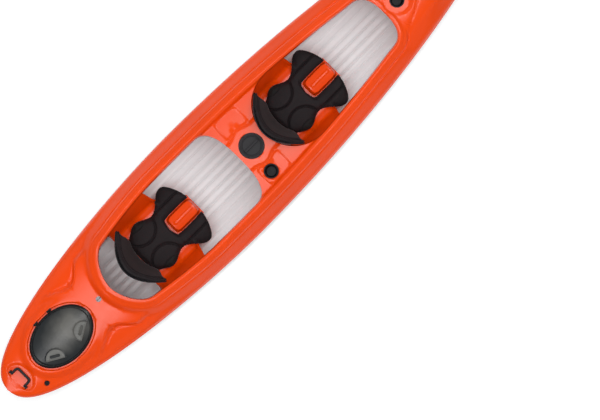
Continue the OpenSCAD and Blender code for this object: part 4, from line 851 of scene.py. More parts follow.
def moulded_sheet(name, colour, shade):
    """Vacuum-formed acrylic-capped sheet: an even wet gloss over a faint orange peel."""
    material, tree, at = new_material(name)
    cloud = add(tree, NOISE, {"Vector": at, "Scale": 1 / 0.35, "Detail": 2.0}).outputs["Fac"]
    tone = add(tree, RAMP, {"Fac": cloud}, ((0.3, toned(colour, shade)), (0.6, colour)))
    haze = add(tree, NOISE, {"Vector": at, "Scale": 1 / 0.05, "Detail": 3.0}).outputs["Fac"]
    gloss = add(tree, RAMP, {"Fac": haze}, rough(0.17, 0.25))
    # Orange peel of the drawn sheet, about 9 mm across
    peel = add(tree, NOISE, {"Vector": at, "Scale": 1 / 0.009, "Detail": 1.0}).outputs["Fac"]
    bump = add(tree, BUMP, {"Strength": 0.10, "Distance": 0.0006, "Height": peel})
    sheet = add(tree, SURFACE, {"Base Color": tone.outputs["Color"], "Roughness": gloss.outputs["Color"],
                                "Normal": bump.outputs["Normal"], "IOR": 1.49, "Specular IOR Level": 0.22})
    add(tree, OUTPUT, {"Surface": sheet.outputs["BSDF"]})
    return material


def orange_sheet(name, colours):
    """Orange sheet, a little darker in faint clouds."""
    return moulded_sheet(name, linear(colours.orange), 0.93)


def white_sheet(name, colours):
    """White sheet, nearly even."""
    return moulded_sheet(name, linear(colours.white), 0.97)


def black_nylon(name, colours):
    """Glass-filled nylon with a fine spark-eroded mould texture: a soft black that greys at a slant."""
    base = linear(colours.black)
    # Grit of about 0.4 mm, drawn at 1.5 mm so that it shows
    grit = {"Scale": 1 / 0.0015, "Detail": 2.0}
    return patterned(name, NOISE, grit, ((0.35, base), (0.75, toned(base, 1.8))), rough(0.40, 0.55),
                     {"IOR": 1.53, "Specular IOR Level": 0.2}, relief=(0.25, 0.0004))


def seat_cloth(name, colours):
    """Woven polyester over foam: crossed threads, a dull bloom at a slant, and blacker bolsters."""
    material, tree, at = new_material(name)
    # Threads of 0.6 mm, drawn at 3 mm so that they show
    thread = {"Vector": at, "Scale": bands(0.003), "Distortion": 0.6, "Detail": 1.0}
    warp = add(tree, WAVE, thread, bands_direction="Y").outputs["Fac"]
    weft = add(tree, WAVE, thread, bands_direction="DIAGONAL").outputs["Fac"]
    weave = add(tree, MATH, {0: warp, 1: weft}, operation="MULTIPLY").outputs["Value"]
    worn = add(tree, NOISE, {"Vector": at, "Scale": 1 / 0.06, "Detail": 3.0}).outputs["Fac"]
    shade = add(tree, MATH, {0: weave, 1: worn}, operation="MULTIPLY").outputs["Value"]
    stops = ((0.05, linear(colours.cloth)), (0.5, linear(colours.cloth_light)))
    tone = add(tree, RAMP, {"Fac": shade}, stops).outputs["Color"]
    mark = add(tree, ATTRIBUTE, attribute_name="bolster").outputs["Fac"]
    dark = add(tree, MIX, {0: mark, 6: tone, 7: linear(colours.rubber)}, data_type="RGBA")
    bump = add(tree, BUMP, {"Strength": 0.35, "Distance": 0.0008, "Height": weave})
    cloth = add(tree, SURFACE, {"Base Color": dark.outputs[2], "Normal": bump.outputs["Normal"],
                                "Roughness": 0.62, "IOR": 1.5, "Specular IOR Level": 0.2,
                                "Sheen Weight": 0.14, "Sheen Roughness": 0.4})
    add(tree, OUTPUT, {"Surface": cloth.outputs["BSDF"]})
    return material


def smoky_plastic(name, colours, lid):
    """Smoke-grey polycarbonate, polished in the mould, with painted light: a painted reflection greys it over
    the dome, palest ahead of the middle, and painted shade darkens it to nearly black at the rim.
    """
    material, tree, at = new_material(name)
    x, a, b = lid
    # Nearness to the lid's middle, for the painted shade at the rim, and to a place ahead of it, where the
    # painted reflection is palest
    near_middle, near_reflection = (
        add(tree, GRADIENT, {"Vector": add(tree, MAPPING, {
            "Vector": at, "Location": (-x / a - shift, 0, 0), "Scale": (1 / a, 1 / b, 0),
        }).outputs["Vector"]}, gradient_type="SPHERICAL").outputs["Fac"] for shift in (0.0, 0.30))
    cloud = add(tree, NOISE, {"Vector": at, "Scale": 1 / 0.12, "Detail": 3.0}).outputs["Fac"]
    # Painted reflection of the overhead light, in soft patches
    pale = add(tree, MATH, {0: near_reflection, 1: cloud}, operation="MULTIPLY").outputs["Value"]
    stops = ((0.06, linear(colours.smoke)), (0.36, linear(colours.smoke_reflection)))
    tone = add(tree, RAMP, {"Fac": pale}, stops).outputs["Color"]
    # Painted shade: from about 87 % of the way out, the lid fades to the near-black rubber colour at its rim
    edge = add(tree, RAMP, {"Fac": near_middle}, ((0.05, grey(0.0)), (0.13, grey(1.0)))).outputs["Color"]
    dark = add(tree, MIX, {0: edge, 6: linear(colours.rubber), 7: tone}, data_type="RGBA")
    gloss = add(tree, RAMP, {"Fac": cloud}, rough(0.16, 0.30))
    # Ripple of the mould's polish, about 6 mm across
    peel = add(tree, NOISE, {"Vector": at, "Scale": 1 / 0.006}).outputs["Fac"]
    bump = add(tree, BUMP, {"Strength": 0.1, "Distance": 0.0005, "Height": peel})
    clear = add(tree, SURFACE, {"Base Color": dark.outputs[2], "Roughness": gloss.outputs["Color"],
                                "Normal": bump.outputs["Normal"], "IOR": 1.58, "Specular IOR Level": 0.14})
    add(tree, OUTPUT, {"Surface": clear.outputs["BSDF"]})
    return material


def pale_latch(name, colours):
    """Pale grey acetal with moulded grip lines: satin, with darker lines along the plate."""
    base = linear(colours.latch)
    # Grip lines 6 mm apart
    grip = {"Scale": bands(0.006), "Distortion": 1.0}
    return patterned(name, WAVE, grip, ((0.0, toned(base, 0.68)), (1.0, base)), rough(0.34, 0.46),
                     {"IOR": 1.48}, relief=(0.4, 0.0008), bands_direction="DIAGONAL")


def seal_rubber(name, colours):
    """Soft moulded rubber: nearly black and dull, with a faint dusty bloom."""
    base = linear(colours.rubber)
    # Bloom in patches of about 20 mm
    dust = {"Scale": 1 / 0.02, "Detail": 4.0}
    return patterned(name, NOISE, dust, ((0.4, base), (0.8, toned(base, 2.2))), rough(0.6, 0.8),
                     {"IOR": 1.52})


def metal(name, colour, gloss):
    """Turned and tumbled metal: a soft shine broken by fine turning marks."""
    # Marks of about 0.3 mm, drawn at 1.5 mm so that they show
    marks = {"Scale": 1 / 0.0015, "Detail": 2.0}
    return patterned(name, NOISE, marks, ((0.0, toned(colour, 0.8)), (1.0, colour)), gloss, {"Metallic": 1.0})


def stainless(name, colours):
    """Tumbled stainless steel: a soft grey shine."""
    return metal(name, linear(colours.steel), rough(0.38, 0.52))


def black_oxide(name, colours):
    """Blackened steel: dark, with a duller shine."""
    return metal(name, linear(colours.oxide), rough(0.45, 0.6))


def closed_foam(name, colours):
    """Closed-cell polyethylene foam, sawn: off-white and matt, with cells about 3 mm across."""
    base = linear(colours.foam)
    return patterned(name, CELLS, {"Scale": 1 / 0.003}, ((0.2, base), (0.9, toned(base, 0.8))),
                     rough(0.8, 0.92), {"IOR": 1.45}, relief=(0.4, 0.0006), output="Distance")


FINISHES = {
    "deck_orange": ("orange_acrylic_sheet", orange_sheet),
    "hull_white": ("white_acrylic_sheet", white_sheet),
    "black_plastic": ("black_moulded_nylon", black_nylon),
    "seat_fabric": ("woven_black_polyester", seat_cloth),
    "seal_rubber": ("moulded_rubber", seal_rubber),
    "steel": ("tumbled_stainless_steel", stainless),
    "foam": ("closed_cell_foam", closed_foam),
}


def finish_of(slot):
    """The material of a record slot, made on first use."""
    name, make = FINISHES[slot]
    return bpy.data.materials.get(name) or make(name, bpy.context.scene.kayak_colours)


# Mesh tools


def skin(rows, columns, place):
    """A sheet of quads whose corners are placed by place(row, column)."""
    bm = bmesh.new()
    bmesh.ops.create_grid(bm, x_segments=len(rows) - 1, y_segments=len(columns) - 1, size=0.5)
    for v in bm.verts:
        i = round((v.co.x + 0.5) * (len(rows) - 1))
        j = round((v.co.y + 0.5) * (len(columns) - 1))
        v.co = place(rows[i], columns[j])
    return bm


def mirrored(bm):
    """Adds the starboard half of a port half, joined along the middle."""
    bmesh.ops.mirror(bm, geom=bm.verts[:] + bm.edges[:] + bm.faces[:], matrix=Matrix.Identity(4),
                     merge_dist=NEAR, axis="Y")


def tidied(bm, facing=None, merge=2 * NEAR):
    """Merges doubles, drops slivers and turns the faces outward, or towards facing on an open sheet."""
    bmesh.ops.remove_doubles(bm, verts=bm.verts[:], dist=merge)
    bmesh.ops.dissolve_degenerate(bm, edges=bm.edges[:], dist=merge)
    bmesh.ops.recalc_face_normals(bm, faces=bm.faces[:])
    if facing is not None:
        total = sum((f.normal * f.calc_area() for f in bm.faces), Vector())
        if total.dot(facing) < 0:
            bmesh.ops.reverse_faces(bm, faces=bm.faces[:])


def closed(bm, lowered):
    """Closes a sheet with a copy of it whose points are moved by lowered(point)."""
    copy = bmesh.ops.extrude_face_region(bm, geom=bm.faces[:], use_keep_orig=True)["geom"]
    for v in (g for g in copy if isinstance(g, bmesh.types.BMVert)):
        v.co = lowered(v.co)
    tidied(bm)
    return bm


def bevel_sharp(bm, width, segments=2, angle=35):
    """Rounds every edge that is sharper than an angle."""
    sharp = [e for e in bm.edges if len(e.link_faces) == 2 and e.calc_face_angle(0.0) > math.radians(angle)]
    bmesh.ops.bevel(bm, geom=sharp, offset=width, offset_type="OFFSET", affect="EDGES", segments=segments,
                    profile=0.5, material=-1, clamp_overlap=True)


def meshed(name, bm):
    """A mesh made from a bmesh, which is freed."""
    mesh = bpy.data.meshes.new(name)
    bm.to_mesh(mesh)
    bm.free()
    return mesh


def placed(name, data):
    """A new object in the scene."""
    obj = bpy.data.objects.new(name, data)
    bpy.context.scene.collection.objects.link(obj)
    return obj


def piece(name, bm, body, slot, material=None, nodes=(), sharp=40, wall=0.0):
    """Turns a bmesh into a finished object that rides on a body and stands for nodes.

    A wall gives a sheet its thickness, inward from its outer face.
    """
    mesh = meshed(name, bm)
    obj = placed(name, mesh)
    mesh.materials.append(material or finish_of(slot))
    mesh.shade_smooth()
    mesh.set_sharp_from_angle(angle=math.radians(sharp))
    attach(obj, body)
    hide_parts(*nodes)
    if wall:
        thick = obj.modifiers.new("Wall", "SOLIDIFY")
        thick.thickness = wall
        thick.offset = -1.0
    return obj


def baked(obj):
    """Applies an object's modifiers to its mesh."""
    graph = bpy.context.evaluated_depsgraph_get()
    mesh = bpy.data.meshes.new_from_object(obj.evaluated_get(graph))
    obj.modifiers.clear()
    old = obj.data
    obj.data = mesh
    mesh.name = old.name
    bpy.data.meshes.remove(old)


def turned(profile, at, ring=False, steps=64):
    """A lathe shape: a profile of radii and heights, or a ring's section, spun about an upright axis."""
    bm = bmesh.new()
    verts = [bm.verts.new((r, 0, z)) for r, z in profile]
    pairs = list(zip(verts, verts[1:] + verts[:1] if ring else verts[1:]))
    edges = [bm.edges.new(pair) for pair in pairs]
    bmesh.ops.spin(bm, geom=verts + edges, cent=(0, 0, 0), axis=UP, angle=TURN, steps=steps, use_merge=True)
    tidied(bm)
    bmesh.ops.translate(bm, vec=at, verts=bm.verts[:])
    return bm


def rounded_profile(points, radius, steps, part=2.2):
    """A profile whose inner corners are rounded off, over at most 1 / part of each side."""
    out = [points[0]]
    for corner in zip(points, points[1:], points[2:]):
        a, b, c = (Vector(p) for p in corner)
        cut = min(radius, (a - b).length / part, (c - b).length / part)
        start, end = b + (a - b).normalized() * cut, b + (c - b).normalized() * cut
        for i in range(steps + 1):
            t = i / steps
            out.append(tuple(start * (1 - t) ** 2 + b * 2 * t * (1 - t) + end * t ** 2))
    return out + [points[-1]]


def body_of(node):
    """Name of the body that a construction node belongs to."""
    bodies = frame["record"]["behaviour"]["bodies"]
    return next(body for body, nodes in bodies.items() if node in nodes)


def softened(node, width, material=None, height=1.0, widen=None, flat=math.radians(1.5), rim=0.97):
    """A construction node with its sharp edges rounded as a mould leaves them.

    Its loose triangles are joined first, where they turn less than flat. It can be made lower from its base,
    and an oval ring's outer edge, past the share rim, can be widened about its place along the boat.
    """
    bm = bmesh.new()
    bm.from_mesh(frame["nodes"][node].data)
    bmesh.ops.remove_doubles(bm, verts=bm.verts[:], dist=NEAR)
    bmesh.ops.dissolve_limit(bm, angle_limit=flat, verts=bm.verts[:], edges=bm.edges[:])
    bevel_sharp(bm, width)
    if height != 1.0:
        base = Matrix.Translation((0, 0, -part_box(node)[0].z))
        bmesh.ops.scale(bm, vec=(1, 1, height), space=base, verts=bm.verts[:])
    if widen:
        x, more = widen
        half = reach(node)
        outer = [v for v in bm.verts if math.hypot((v.co.x - x) / half.x, v.co.y / half.y) > rim]
        bmesh.ops.scale(bm, vec=(1 + more / half.x, 1 + more / half.y, 1),
                        space=Matrix.Translation((-x, 0, 0)), verts=outer)
    bmesh.ops.triangulate(bm, faces=[f for f in bm.faces if len(f.verts) > 4])
    row = next(s for s in frame["record"]["subparts"] if s["node"] == node)
    return piece(node + "_moulded", bm, body_of(node), row["material_slot"], material, [node], sharp=30)


# Pieces


class KAYAK_OT_hull(bpy.types.Operator):
    """White hull with a soft chine and a ribbed floor"""
    bl_idname = "kayak.hull"
    bl_label = "Hull"

    TIP, STERN_RUN, BOW_RUN = 0.0025, 0.12, 0.2
    # Share of the section's lines that the ribbed floor takes
    FLOOR = 0.36

    def execute(self, context):
        boat = BoatForm(context.scene)
        aft, fore = boat.stern_x + self.STERN_RUN, boat.bow_x - self.BOW_RUN
        places = spread(boat.stern_x, aft, 14) + spread(aft, fore, 120) + spread(fore, boat.bow_x, 24)
        lines = spread(0, self.FLOOR, 72) + spread(self.FLOOR, 1, 30) + [1.0]

        def place(station, t):
            x, share = station
            p = boat.hull_point(boat.within(x), t)
            return Vector((x, p.y * share, p.z))

        bm = skin(boat.tipped(places + [boat.bow_x], self.TIP), lines, place)
        mirrored(bm)
        tidied(bm, -UP)
        piece("hull", bm, "kayak", "hull_white", nodes=["hull_shell"], sharp=60, wall=boat.hull.wall)
        return {"FINISHED"}


class KAYAK_OT_deck(bpy.types.Operator):
    """Orange deck with its coaming, console, dash and hatch rims"""
    bl_idname = "kayak.deck"
    bl_label = "Deck"

    # The lip's section: distance from the opening's edge and share of its depth
    LIP = ((-0.007, 1.0), (-0.005, 0.55), (-0.001, 0.14))
    # The skirt's rounded shoulder: share of its step out and depth below the seam
    SHOULDER = ((0.7, 0.001), (1.0, 0.004))
    TIP, WALL = 0.003, 0.004
    DRAIN_TILT, DRAIN_SUNK, DRAIN_HOLE = math.radians(32), 0.008, 0.0155
    # A bored hole: radii of the grid taken away and of the edges bridged, as shares, and the circle's steps
    CUT, BRIDGED, CIRCLE = 1.35, 2.2, 48

    def execute(self, context):
        boat = BoatForm(context.scene)
        stations = boat.tipped(boat.stations(), self.TIP)
        sections = {x: self.section(boat, boat.within(x)) for x, _ in stations}
        count = len(next(iter(sections.values())))

        def place(station, k):
            x, share = station
            y, z = sections[x][k]
            return Vector((x, y * share, z))

        bm = skin(stations, list(range(count)), place)
        # Where a lip ends, the grid folds flat onto the middle plane
        folded = [f for f in bm.faces if all(abs(v.co.y) < SAME for v in f.verts)]
        bmesh.ops.delete(bm, geom=folded, context="FACES")
        mirrored(bm)
        tidied(bm)
        cup = middle("console_cup_holder")
        self.bored(bm, boat, Vector((cup.x, cup.y, boat.pit.console_z)), UP, boat.CUP_HOLE)
        tilted = Vector((0, -math.sin(self.DRAIN_TILT), math.cos(self.DRAIN_TILT)))
        self.bored(bm, boat, middle("drain_seat") + tilted * self.DRAIN_SUNK, tilted, self.DRAIN_HOLE)
        tidied(bm, UP)
        piece("deck", bm, "kayak", "deck_orange", nodes=["deck_shell"], sharp=50, wall=self.WALL)
        return {"FINISHED"}

    def bored(self, bm, boat, at, axis, radius):
        """Cuts a round hole in the sheet: opens the grid and bridges it to a circle on the surface."""
        cut = [f for f in bm.faces if (f.calc_center_median() - at).length < radius * self.CUT]
        bmesh.ops.delete(bm, geom=cut, context="FACES")
        rim = [e for e in bm.edges if e.is_boundary
               and (sum((v.co for v in e.verts), Vector()) / 2 - at).length < radius * self.BRIDGED]
        across = axis.cross(AHEAD)
        ring = []
        for i in range(self.CIRCLE):
            turn = TURN * i / self.CIRCLE
            co = at + radius * (math.cos(turn) * AHEAD + math.sin(turn) * across)
            co.z = boat.deck_z(co.x, abs(co.y))
            ring.append(bm.verts.new(co))
        circle = [bm.edges.new((a, b)) for a, b in zip(ring, ring[1:] + ring[:1])]
        bmesh.ops.bridge_loops(bm, edges=rim + circle)

    def section(self, boat, x):
        """Points of the deck's cross-section: turned-down lip, top face and skirt over the hull."""
        tops = [(y, boat.deck_z(x, y)) for y in boat.lines(x)]
        edge, z = tops[0]
        depth = boat.lip_depth(x)
        lip = [(max(0.0, edge + out) if depth else edge, z - depth * down) for out, down in self.LIP]
        half, low, out = boat.breadth(x), boat.seam(x), boat.deck.skirt_out
        skirt = [(half + out * share, low - down) for share, down in self.SHOULDER]
        return lip + tops + skirt + [(half + out, low - boat.deck.skirt_h)]


class KAYAK_OT_seat_pans(bpy.types.Operator):
    """Orange seat pans with their side walls and pommels"""
    bl_idname = "kayak.seat_pans"
    bl_label = "Seat pans"

    # Places along a pan where the spacing of its rows changes, the rows in each stretch, and its wall
    MARKS, ROWS, WALL = (0.016, 0.09, 0.185), (26, 30, 14, 20), 0.0045

    def execute(self, context):
        for which in SEATS:
            seat = SeatForm(context.scene, which)
            marks = (seat.s.pan_aft, *self.MARKS, seat.s.pan_fore)
            rows = [d for a, b, n in zip(marks, marks[1:], self.ROWS) for d in spread(a, b, n)]
            bm = skin(rows + [seat.s.pan_fore], seat.pan_lines(), seat.pan_point)
            mirrored(bm)
            tidied(bm, UP)
            piece(which + "_pan", bm, "kayak", "deck_orange", nodes=[which + "_seat_pan"], sharp=50,
                  wall=self.WALL)
        return {"FINISHED"}


def puffed(obj, cap, pressure, voxel=0.005, frames=20):
    """Blows a closed cover up as cloth, holds each point near its start, and subdivides the cover."""
    remesh = obj.modifiers.new("Voxels", "REMESH")
    remesh.mode = "VOXEL"
    remesh.voxel_size = voxel
    baked(obj)
    start = [v.co.copy() for v in obj.data.vertices]
    scene = bpy.context.scene
    cloth = obj.modifiers.new("Cover", "CLOTH")
    cloth.settings.use_pressure = True
    cloth.settings.uniform_pressure_force = pressure
    cloth.settings.effector_weights.gravity = 0.0
    cloth.settings.quality = 5
    cloth.point_cache.frame_start = 1
    cloth.point_cache.frame_end = frames
    for f in range(1, frames + 1):
        scene.frame_set(f)
    baked(obj)
    scene.frame_set(1)
    for v, home in zip(obj.data.vertices, start):
        step = v.co - home
        if step.length > cap:
            v.co = home + step.normalized() * cap
    finer = obj.modifiers.new("Finer", "SUBSURF")
    finer.levels = finer.render_levels = 1
    baked(obj)
    obj.data.shade_smooth()


def twin(obj, rear, front, name, body, slot, nodes):
    """A copy of a piece of the rear seat, moved to the front one."""
    bm = bmesh.new()
    bm.from_mesh(obj.data)
    bmesh.ops.translate(bm, vec=Vector((front.x0 - rear.x0, 0, 0)), verts=bm.verts[:])
    return piece(name, bm, body, slot, nodes=nodes)


class KAYAK_OT_cushions(bpy.types.Operator):
    """Padded seat cushions with sewn channels"""
    bl_idname = "kayak.cushions"
    bl_label = "Seat cushions"

    # Most that the padding swells, its pressure, and the depth of its channels and height of its bolsters
    CAP, PRESSURE, CHANNEL, BOLSTER = 0.007, 4.0, 0.011, 0.008
    # Clearances over the pan, after and before the padding swells, beside the pommel and inside the outline
    LIFT, START_LIFT, CLEAR, INSET = 0.0009, 0.002, 0.0545, 0.001
    # The cover's reach past the cushion's ends, and the heights over the pan where its top begins. The aft
    # reach lays black cloth over the gap under the backrest, standing in for the shade there
    AFT_OVER, FORE_OVER, TOP = 0.014, 0.003, (0.012, 0.026)
    ROWS, COLUMNS = 60, 16

    def execute(self, context):
        rear, front = (SeatForm(context.scene, which) for which in SEATS)
        cushion = piece("rear_cushion", self.cover(rear), "kayak", "seat_fabric", nodes=["rear_seat_cushion"])
        puffed(cushion, self.CAP, self.PRESSURE)
        self.sewn(cushion, rear)
        other = twin(cushion, rear, front, "front_cushion", "kayak", "seat_fabric", ["front_seat_cushion"])
        return {"FINISHED"}

    def cover(self, seat):
        """Closed cover of the cushion: a top sheet, its sides and a bottom on the pan."""
        aft, fore = seat.s.cushion_aft - self.AFT_OVER, seat.s.cushion_fore + self.FORE_OVER
        shares = [i / self.COLUMNS for i in range(self.COLUMNS + 1)]

        def place(d, g):
            inner, half = seat.cushion_inner(d), seat.cushion_half(d) - self.INSET
            y = inner + g * (half - inner)
            return Vector((seat.x0 + d, y, seat.rest_z(d, y) + seat.cushion_top(d, y)))

        def bottom(co):
            return Vector((co.x, co.y, seat.rest_z(co.x - seat.x0, abs(co.y)) + self.START_LIFT))

        bm = skin(spread(aft, fore, self.ROWS) + [fore], shares, place)
        mirrored(bm)
        tidied(bm, UP)
        return closed(bm, bottom)

    def sewn(self, obj, seat):
        """Draws the channels into the top and keeps the bottom on the pan."""
        for v in obj.data.vertices:
            d, y = v.co.x - seat.x0, abs(v.co.y)
            rest = seat.rest_z(d, y)
            up = smooth(*self.TOP, v.co.z - rest)
            v.co.z += (self.BOLSTER * seat.bolster(d, y) - self.CHANNEL * seat.channel(d, y)) * up
            v.co.z = max(v.co.z, rest + self.LIFT)
            if seat.POMMEL_AFT < d < seat.POMMEL_FORE and y < self.CLEAR:
                v.co.y = math.copysign(self.CLEAR, v.co.y)
        shade = obj.data.attributes.new("bolster", "FLOAT", "POINT")
        shade.data.foreach_set("value", [seat.bolster(v.co.x - seat.x0, abs(v.co.y))
                                         for v in obj.data.vertices])


class KAYAK_OT_backrests(bpy.types.Operator):
    """Backrest plates and their padded fronts"""
    bl_idname = "kayak.backrests"
    bl_label = "Backrests"

    # The plate's thickness, its rounded edge, and its rows and half of its columns
    PLATE, EDGE, PLATE_ROWS, PLATE_COLUMNS = 0.005, 0.0018, 12, 24
    # The pad: most that it swells, its pressure, thickness at its edge and rise, and gaps to the plate
    CAP, PRESSURE, EDGE_T, RISE = 0.006, 3.0, 0.009, 0.017
    GAP, START_LIFT, LIFT = 0.001, 0.002, 0.0008
    # The pad's outline on the plate, in shares of its height and half-width, and where it rounds off. LOW
    # starts the pad below the plate's low edge, so its black cloth also fills the gap down towards the
    # cushion, standing in for the shade there
    LOW, TALL, SIDE, ROWS, COLUMNS = -0.09, 1.05, 0.965, 22, 60
    ROUND_SIDE, ROUND_UP, ROUND_MIDDLE, ROUND_POWER = 1.02, 1.13, 0.9, 3
    # The seam below the top edge: its depth, place and width, and where the pad's front starts
    SEAM_D, SEAM_AT, SEAM_W, FRONT = 0.005, 0.030, 0.005, (0.006, 0.014)

    def execute(self, context):
        rear, front = (SeatForm(context.scene, which) for which in SEATS)
        for seat in (rear, front):
            self.plate(seat)
        pad = piece("rear_backrest_cover", self.cover(rear), "rear_backrest", "seat_fabric",
                    nodes=["rear_backrest_pad"])
        puffed(pad, self.CAP, self.PRESSURE)
        self.sewn(pad, rear)
        other = twin(pad, rear, front, "front_backrest_cover", "front_backrest", "seat_fabric",
                     ["front_backrest_pad"])
        return {"FINISHED"}

    def plate(self, seat):
        """The moulded plate, with its edges rounded."""
        rows = [i / self.PLATE_ROWS for i in range(self.PLATE_ROWS + 1)]
        columns = [-1 + i / self.PLATE_COLUMNS for i in range(2 * self.PLATE_COLUMNS + 1)]
        bm = skin(rows, columns, lambda v, g: seat.backrest_point(v, g, self.PLATE))
        tidied(bm, AHEAD)
        rest = seat.which + "_backrest"
        obj = piece(rest + "_plate", bm, rest, "black_plastic", nodes=[rest + "_shell"], wall=self.PLATE)
        edge = obj.modifiers.new("Edge", "BEVEL")
        edge.width = self.EDGE
        edge.segments = 2
        edge.limit_method = "ANGLE"
        edge.angle_limit = math.radians(50)

    def front(self, seat, v, g):
        """A point of the pad's front, thick in the middle and thin at its edge."""
        across = rounded_end(abs(g), self.ROUND_SIDE, self.ROUND_POWER)
        up = rounded_end(abs(2 * v - self.ROUND_MIDDLE), self.ROUND_UP, self.ROUND_POWER)
        depth = self.EDGE_T + self.RISE * across * up
        return seat.backrest_point(v, g, self.PLATE + self.GAP + depth)

    def cover(self, seat):
        """Closed cover of the pad."""
        rows = [self.LOW + self.TALL * i / self.ROWS for i in range(self.ROWS + 1)]
        columns = [-self.SIDE + 2 * self.SIDE * i / self.COLUMNS for i in range(self.COLUMNS + 1)]
        bm = skin(rows, columns, lambda v, g: self.front(seat, v, g))
        tidied(bm, AHEAD)
        return closed(bm, lambda co: Vector((self.plate_x(seat, co) + self.START_LIFT, co.y, co.z)))

    def plate_x(self, seat, co):
        """Place of the plate's front face behind a point."""
        g = co.y / seat.s.backrest_half
        lean = seat.REST_LEAN * (seat.s.backrest_z - co.z)
        return seat.x0 + seat.REST_X + seat.REST_WRAP * g * g + lean + self.PLATE

    def sewn(self, obj, seat):
        """Draws a seam along the top edge and keeps the pad on its plate."""
        s = seat.s
        for v in obj.data.vertices:
            face = self.plate_x(seat, v.co)
            out = smooth(*self.FRONT, v.co.x - face)
            g = v.co.y / s.backrest_half
            below = s.backrest_z - seat.REST_FALL * g * g - v.co.z
            v.co.x -= self.SEAM_D * hump(below - self.SEAM_AT, self.SEAM_W) * out
            v.co.x = max(v.co.x, face + self.LIFT)


class KAYAK_OT_hatches(bpy.types.Operator):
    """Smoky hatch lids, hinges, latches and seals"""
    bl_idname = "kayak.hatches"
    bl_label = "Hatches"

    DOMES = {"stern": 0.016, "bow": 0.026}
    # The seal's outer edge is widened past its built size: a band of black rubber that stands in for the
    # shade in the gap around the lid
    DOME_POWER, RIM_T, WALL, LIP_OUT = 0.6, 0.006, 0.004, 0.007
    # Shares of the way out to the rim where the rings come closer, and the steps around
    DOME_END, GROOVE_END, AROUND = 0.84, 0.97, 180
    # The groove inside the rim and the rim's rounded edge
    GROOVE_D, GROOVE_AT, GROOVE_W, EDGE_D, EDGE_AT = 0.0035, 0.905, 0.010, 0.004, 0.985
    # Roundings of the seals, of the hinges and latches, and of the pins
    SEAL_ROUND, FITTING_ROUND, PIN_ROUND = 0.0008, 0.0012, 0.0004

    def execute(self, context):
        boat = BoatForm(context.scene)
        colours = context.scene.kayak_colours
        pale = pale_latch("pale_grey_acetal", colours)
        for end, place in (("stern", boat.stern_hatch), ("bow", boat.bow_hatch)):
            finish = smoky_plastic(end + "_smoky_polycarbonate", colours, place)
            self.lid(end, place, finish)
            # Painted shade: the widened seal fills the gap around the lid with black rubber
            softened(end + "_hatch_gasket", self.SEAL_ROUND, widen=(place[0], self.LIP_OUT))
            if end == "stern":
                for node in ("stern_hinge_ears", "stern_hinge_lugs", "stern_latch_mounts"):
                    softened(node, self.FITTING_ROUND, finish)
        for node in ("stern_latch_aft", "stern_latch_fore"):
            softened(node, self.FITTING_ROUND, pale)
        softened("stern_hinge_pins", self.PIN_ROUND)
        return {"FINISHED"}

    def lid(self, end, place, finish):
        """A domed oval lid with a flat rim and a groove inside it."""
        x, a, b = place
        node = end + "_hatch_lid"
        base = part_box(node)[0].z
        radii = spread(0, self.DOME_END, 28) + spread(self.DOME_END, self.GROOVE_END, 20)
        radii += spread(self.GROOVE_END, 1.0, 6) + [1.0]
        angles = [TURN * i / self.AROUND for i in range(self.AROUND + 1)]

        def place_at(r, t):
            z = base + self.RIM_T + self.DOMES[end] * max(0.0, 1 - r * r) ** self.DOME_POWER
            z -= self.GROOVE_D * hump(r - self.GROOVE_AT, self.GROOVE_W)
            z -= self.EDGE_D * smooth(self.EDGE_AT, 1.0, r) ** 2
            return Vector((x + a * r * math.cos(t), b * r * math.sin(t), z))

        bm = skin(radii, angles, place_at)
        tidied(bm, UP)
        piece(end + "_lid", bm, body_of(node), "smoky_plastic", finish, [node], wall=self.WALL)


